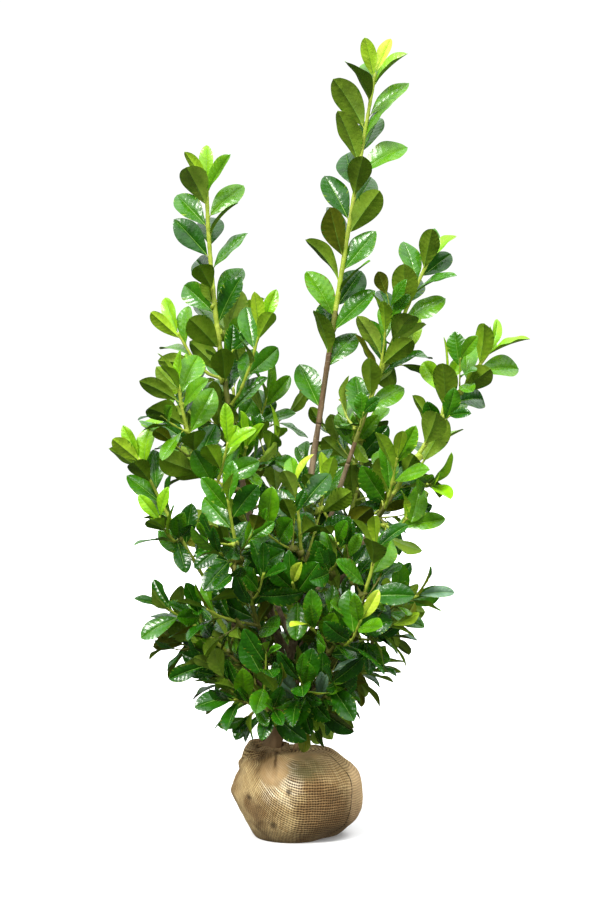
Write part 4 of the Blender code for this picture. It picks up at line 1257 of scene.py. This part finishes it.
def collar_cloth(material):
    """Cloth gathered round the trunk's foot: up from the ball, over a ruffled edge, and down inside it."""
    turns = np.arange(COLLAR_ROUND + 1) * 2 * np.pi / COLLAR_ROUND
    lobes = (np.abs(np.cos(3.5 * turns + 0.4 * np.sin(2 * turns + 1))) ** 0.8 - 0.5
             + 0.5 * np.cos(11 * turns + 1.5 * np.sin(turns)))
    tall = 0.78 + 0.32 * np.cos(turns - 2.1) + 0.10 * np.cos(3 * turns + 0.6) - 0.46 * hump(turns, 3.75, 0.30)
    # at the left the cloth gapes: its edge stands off from the trunk, and its outer side runs down the ball
    left = np.maximum(np.cos(turns - 3.0), 0) ** 1.5
    points = np.empty((len(PROFILE), COLLAR_ROUND + 1, 3))
    for i, (radius, height, show, gape, drop) in enumerate(PROFILE):
        level = BALL_SEAT + np.where(height > 0, height * tall, height) - drop * left
        axis = [trunk_at_height(max(each, TRUNK_FOOT.z)) for each in level]
        out = radius * (1 + GAPE * gape * left) + 0.0045 * show * lobes * (radius / 0.035)
        out = np.maximum(out, 0.0205)
        points[i, :, 0] = [p.x for p in axis] + out * np.cos(turns)
        points[i, :, 1] = [p.y for p in axis] + out * np.sin(turns)
        points[i, :, 2] = level
    points += 0.0022 * np.stack([noise_over(points, 70, seed) for seed in (1.0, 4.0, 7.0)], axis=-1)
    points[:, -1] = points[:, 0]
    # faces from the inner edge to the outer one close it below
    ring = np.arange(COLLAR_ROUND)
    beside = (ring + 1) % COLLAR_ROUND
    last = (len(PROFILE) - 1) * COLLAR_ROUND
    under = np.stack([last + ring, last + beside, beside, ring], axis=1)
    rise = lengths_along(np.array(PROFILE)[:, :2])
    threads = np.broadcast_arrays(COLLAR_THREADS * turns / (2 * np.pi), rise[:, None] / WEAVE_PITCH)
    made = add_cloth("hessian_gather", points, *threads, under, material)
    shape = made.modifiers.new("soften", "SUBSURF")
    shape.levels = shape.render_levels = 1
    return made


# ---------------------------------------------------------------- the plant's pieces
LEAF_PIECES = {
    "leaves_top": ("leader", "left_tall", "right_mid"),
    "leaves_sides": ("right_outer", "left_outer", "left_mid"),
    "leaves_back": ("back_left", "back_right", "back_mid"),
    "leaves_front": ("front_left", "front_mid", "front_right"),
    "leaves_skirt": ("low_left", "low_right", "low_right_back", "low_front_left"),
    "leaves_under_skirt": ("low_front", "low_back_left", "low_back"),
}


def make_leaves(masses, materials):
    for name, members in LEAF_PIECES.items():
        pile = Pile()
        for mass in masses:
            if mass.name not in members:
                continue
            rng = random.Random(7 + mass.shoot.seed)
            for fine, leaves in ((False, mass.leaves), (True, mass.fine_leaves)):
                for leaf in leaves:
                    leaf_mesh(leaf, rng, pile, skins_for(leaf, mass, fine, rng))
        piece = pile.build(name, materials)
        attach(piece, "root")
        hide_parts(*(f"foliage_{member}" for member in members))


STEM_ROUND, TWIG_ROUND, FINE_ROUND = 10, 8, 6  # sides of the shoots
TRUNK_ROUND, BOUGH_ROUND, TRUNK_STEPS = 28, 18, 150
GREEN, OLIVE, WOODY = range(3)  # the shoots' materials
BARK_UP_TO = {"leader": 0.20, "left_tall": 0.45, "right_mid": 0.48, "right_outer": 0.40}
BARK_UP_TO_ELSEWHERE = 0.36  # share of a mass's stem that is old enough for bark


def make_shoots(masses, materials):
    pile = Pile()
    for mass in masses:
        old = BARK_UP_TO.get(mass.name, BARK_UP_TO_ELSEWHERE)
        add_shoot(mass.stem, mass.shoot.bare, mass.leaves, STEM_ROUND, pile,
                  lambda share, _: WOODY if share < old else OLIVE if share < old + 0.12 else GREEN, 0)
        for twig in mass.twigs:
            add_shoot(twig, 0, mass.leaves, TWIG_ROUND, pile,
                      lambda share, height: OLIVE if share < 0.25 and height < 0.9 else GREEN)
        for twig in mass.fine_twigs:
            add_shoot(twig, 0, mass.fine_leaves, FINE_ROUND, pile,
                      lambda _, height: OLIVE if height < 0.7 else GREEN)
    piece = pile.build("green_shoots", materials)
    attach(piece, "root")
    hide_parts(*(f"foliage_{mass.name}" for mass in masses))


def make_bark(masses, material):
    """The trunk with its root flare, and the boughs with a collar where each leaves it."""
    pile = Pile()
    shares = [share ** 1.25 for share in steps(0, 1, TRUNK_STEPS)]
    path = np.array([xyz(trunk_point(share)) for share in shares])
    radii = [trunk_radius(share) for share in shares]
    bark_limb(path, radii, TRUNK_ROUND, pile, 2.0, flare_lobes=0.10, level=TRUNK_FOOT.z)
    for index, mass in enumerate(masses):
        if mass.shoot.bare:
            path, _, radii = eased(mass.stem, 0, mass.shoot.bare, 0.010, 0.45, 0.020)
            bark_limb(path, radii, BOUGH_ROUND, pile, 5.0 + index)
    piece = pile.build("trunk_and_boughs", [material])
    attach(piece, "root")
    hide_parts("trunk", *(f"bough_{mass.name}" for mass in masses if mass.shoot.bare))


# ---------------------------------------------------------------- floor, light and camera
FLOOR_HALF, FLOOR_DROP = 40, 0.0005
CAMERA_PLACE = (0.007, -4.5, 0.922)
CAMERA_LENS, CAMERA_SENSOR = 75, 36
SKY_COLOUR = (0.95, 0.98, 1.0)
BACKDROP_STRENGTH = 1.05
# The sky's brightness by the height of the direction looked in: the low and the high end of its change, and
# how bright it is below and above. What leaves mirror has a sharper edge, as of open sky over trees.
DOME = (-0.25, 0.75, 0.20, 1.10)
MIRRORED_DOME = (0.25, 0.60, 0.05, 1.7)
# (name, azimuth from the camera towards +X, elevation, strength, width, colour), angles in degrees
SUNS = (
    ("key", -34, 42, 3.6, 20, (1.0, 0.98, 0.94)),
    ("top", 25, 72, 1.8, 40, (1.0, 1.0, 1.0)),
    ("fill", 40, 26, 1.1, 50, (0.98, 0.99, 1.0)),
    ("rim", 150, 40, 1.0, 30, (1.0, 1.0, 1.0)),
)


def make_floor():
    mesh = bpy.data.meshes.new("floor")
    corners = [(x * FLOOR_HALF, y * FLOOR_HALF, 0) for x, y in ((-1, -1), (1, -1), (1, 1), (-1, 1))]
    mesh.from_pydata(corners, [], [(0, 1, 2, 3)])
    material, n = new_material("floor_pale")
    n.put(n.shader, {"Base Color": (0.90, 0.90, 0.90), "Roughness": 0.9, "Specular IOR Level": 0})
    mesh.materials.append(material)
    floor = add_object("floor", mesh)
    floor.location.z = -FLOOR_DROP
    floor.visible_diffuse = False
    floor.visible_glossy = False


def make_sky():
    """White behind the plant, a sky brighter above for its light, and an edged one for what it mirrors."""
    world = bpy.data.worlds.new("studio")
    bpy.context.scene.world = world
    world.use_nodes = True
    world.node_tree.nodes.clear()
    n = Nodes(world.node_tree, "Generated")
    up = n.axes()[2]
    glossy, camera = (n.add("ShaderNodeLightPath", output=ray) for ray in ("Is Glossy Ray", "Is Camera Ray"))
    strength = n.add("ShaderNodeMix", {0: glossy, 2: n.ramp(up, *DOME), 3: n.ramp(up, *MIRRORED_DOME)})
    light = n.add("ShaderNodeBackground", {"Color": SKY_COLOUR, "Strength": strength})
    backdrop = n.add("ShaderNodeBackground", {"Color": (1, 1, 1), "Strength": BACKDROP_STRENGTH})
    seen = n.add("ShaderNodeMixShader", {0: camera, 1: light, 2: backdrop})
    n.put(n.tree.nodes.new("ShaderNodeOutputWorld"), {"Surface": seen})


def make_suns():
    for name, azimuth, elevation, strength, angle, colour in SUNS:
        lamp = bpy.data.lights.new(name, "SUN")
        lamp.energy = strength
        lamp.angle = math.radians(angle)
        lamp.color = colour
        sun = add_object(name, lamp)
        sun.visible_glossy = name == "key"
        turn, lift = math.radians(azimuth), math.radians(elevation)
        towards = Vector((math.sin(turn) * math.cos(lift), -math.cos(turn) * math.cos(lift), math.sin(lift)))
        sun.rotation_mode = "QUATERNION"
        sun.rotation_quaternion = towards.to_track_quat("Z", "Y")


def make_camera():
    data = bpy.data.cameras.new("camera")
    data.lens, data.sensor_width = CAMERA_LENS, CAMERA_SENSOR
    camera = add_object("camera", data)
    camera.location = CAMERA_PLACE
    camera.rotation_euler = (math.radians(90), 0, 0)
    scene = bpy.context.scene
    scene.camera = camera
    scene.view_settings.view_transform = "Standard"
    scene.view_settings.look = "None"


def main():
    room = grow()
    grow_finer(room)
    masses = room.masses
    skins = {name: leaf_material(name, *values) for name, values in LEAF_SKINS.items()}
    make_leaves(masses, skins.values())
    bark = bark_material("bark_brown", rgb(150, 130, 102), rgb(92, 74, 54))
    twig_bark = bark_material("bark_twig", rgb(134, 112, 82), rgb(92, 70, 48))
    make_shoots(masses, [skins["stalk_green"], skins["stalk_olive"], twig_bark])
    make_bark(masses, bark)
    hessian = hessian_material()
    ball = ball_cloth(hessian)
    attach(ball, "root")
    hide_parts("root_ball")
    gather = collar_cloth(hessian)
    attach(gather, "root")
    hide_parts("hessian_collar")
    make_floor()
    make_sky()
    make_suns()
    make_camera()


main()
